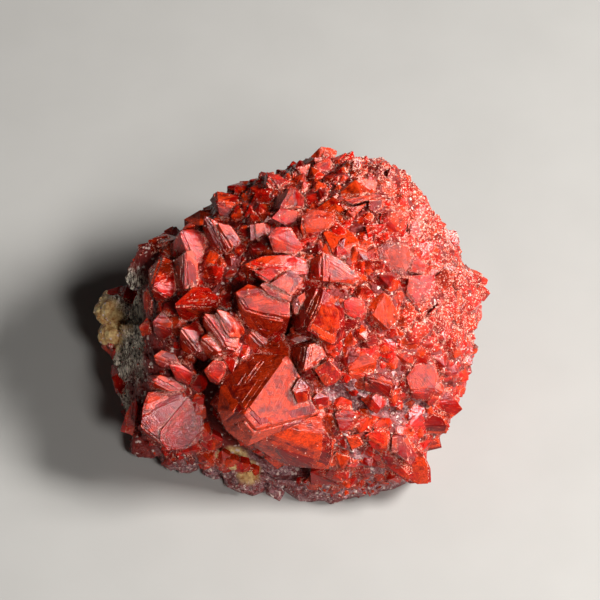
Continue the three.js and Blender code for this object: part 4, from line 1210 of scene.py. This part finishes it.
def pale_floor():
    """A matt painted board: fine, even mottling and no shine."""
    material, tree = new_material("matt_painted_board")
    place = add(tree, "ShaderNodeTexCoord", {}, "Object")
    mottle = add(tree, NOISE, {"Vector": place, "Scale": 60.0, "Detail": 3.0})
    colour = add(tree, MIX, {0: mottle, 6: "#a5a29d", 7: "#adaaa5"}, **COLOUR)
    return finished(material, {"Base Color": colour, "Roughness": 0.9})


# ---- the cluster ----
GREY_BY_WALL, GREY_BY_HOLLOW = 3, 1.8  # how near the wall's plane and the hollow
GREY_BACK = -6  # below this w
GREY_EDGE = (-26, 6)  # below this v and this w


def on_grey(place):
    """Whether a place is on the bottom edge, in the hollow, or on the broken wall or the back, where nothing
    is red."""
    by_wall = (place - WALL_POINT) @ np.array(WALL_FACING) > -GREY_BY_WALL
    by_hollow = distance_to_gap(place, GAPS[2:]) < GREY_BY_HOLLOW and place[2] > 0
    return by_wall or by_hollow or place[2] < GREY_BACK or (place[1:] < GREY_EDGE).all()


def make_cluster():
    rng = np.random.default_rng(8)
    crystal, crust = hematite_quartz(), granular_quartz()
    cluster = crust_body(crust)
    cut_wall_and_back(cluster, crust)
    add_lumps(cluster, crust)
    cut_gaps(cluster, crust)
    shoulder = Heap()
    shoulder.add(broad_crystal(BROAD_CRYSTALS[0]))
    merge(cluster, shoulder.made("shoulder", crust))
    ground = Ground(cluster)
    broad = [room_of(corners) for corners in BROAD_CRYSTALS]
    small = small_crystals(broad)
    stems = Stems(broad + small)
    plates, points, druse = (fill(stems, ground, kind) for kind in (PLATES, POINTS, DRUSE))
    red_druse = [c for c in druse if not on_grey(c[0])]
    grey_druse = [c for c in druse if on_grey(c[0])]
    kinds = [
        (broad_solids(rng), "broad"),
        (small_solids(small, rng), "small"),
        (filling_solids(plates, PLATES, rng, 1), "plates"),
        (filling_solids(points, POINTS, rng), "points"),
        (filling_solids(red_druse, DRUSE, rng), "druse"),
    ]
    join_groups(cluster, filling_solids(grey_druse, DRUSE, rng), "druse", crust)
    for solids, name in kinds[::-1]:
        join_groups(cluster, solids, name, crystal)
    flat_ground_cut(cluster, crust)
    without_hollows(cluster)
    cluster.name = "hematoid_quartz"
    return cluster


# ---- the floor, lights and camera, in metres ----
FLOOR_HALF = 3
LAMPS_AWAY = 600  # mm
# Each lamp's name, way from the face's middle in the face's frame, width and watts.
LAMPS = [("key", (0.72, 0.3, 0.62), 0.17, 6.8), ("glint", (0.3, -0.12, 0.94), 0.12, 1.7)]
FILL_PLACE = (-0.4, -0.3, 0.4)
CAMERA_AWAY, CAMERA_SENSOR, CAMERA_LENS = 0.6, 36, 180
CAMERA_SHIFT = (7 / 600, 25 / 600)  # pixels of a frame 600 wide


def make_floor():
    mesh = bpy.data.meshes.new("floor")
    corners = [(x * FLOOR_HALF, y * FLOOR_HALF, 0) for x, y in ((-1, -1), (1, -1), (1, 1), (-1, 1))]
    mesh.from_pydata(corners, [], [(0, 1, 2, 3)])
    mesh.materials.append(pale_floor())
    floor = bpy.data.objects.new("floor", mesh)
    bpy.context.scene.collection.objects.link(floor)


def aim(thing, place, target):
    thing.location = place
    thing.rotation_euler = (Vector(target) - Vector(place)).to_track_quat("-Z", "Y").to_euler()


def soft_light(name, place, size, power):
    lamp = bpy.data.lights.new(name, "AREA")
    lamp.size, lamp.energy = size, power
    light = bpy.data.objects.new(name, lamp)
    bpy.context.scene.collection.objects.link(light)
    aim(light, place, [MM * c for c in FACE_MIDDLE])


def make_camera():
    """Looks square at the middle of the crystal-covered face."""
    camera = bpy.data.cameras.new("camera")
    camera.sensor_width, camera.lens = CAMERA_SENSOR, CAMERA_LENS
    camera.shift_x, camera.shift_y = CAMERA_SHIFT
    holder = bpy.data.objects.new("camera", camera)
    bpy.context.scene.collection.objects.link(holder)
    elevation = math.radians(FACE_ELEVATION)
    middle = np.array(FACE_MIDDLE) * MM
    out = np.array([0, -math.cos(elevation), math.sin(elevation)])
    aim(holder, middle + CAMERA_AWAY * out, middle)
    bpy.context.scene.camera = holder


cluster = make_cluster()
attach(cluster, "root")
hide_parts("quartz_cluster")
grains = sugar_grains(cluster, np.random.default_rng(12), sugar_quartz())
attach(grains, "root")

make_floor()
for name, way, size, power in LAMPS:
    soft_light(name, to_part(np.array(way) * LAMPS_AWAY) * MM, size, power)
soft_light("fill", FILL_PLACE, 0.4, 0.07)
world = bpy.data.worlds.new("studio")
world.use_nodes = True
world.node_tree.nodes["Background"].inputs["Color"].default_value = linear("#f2f0ee")
world.node_tree.nodes["Background"].inputs["Strength"].default_value = 0.012
bpy.context.scene.world = world
bpy.context.scene.view_settings.view_transform = "Standard"
make_camera()
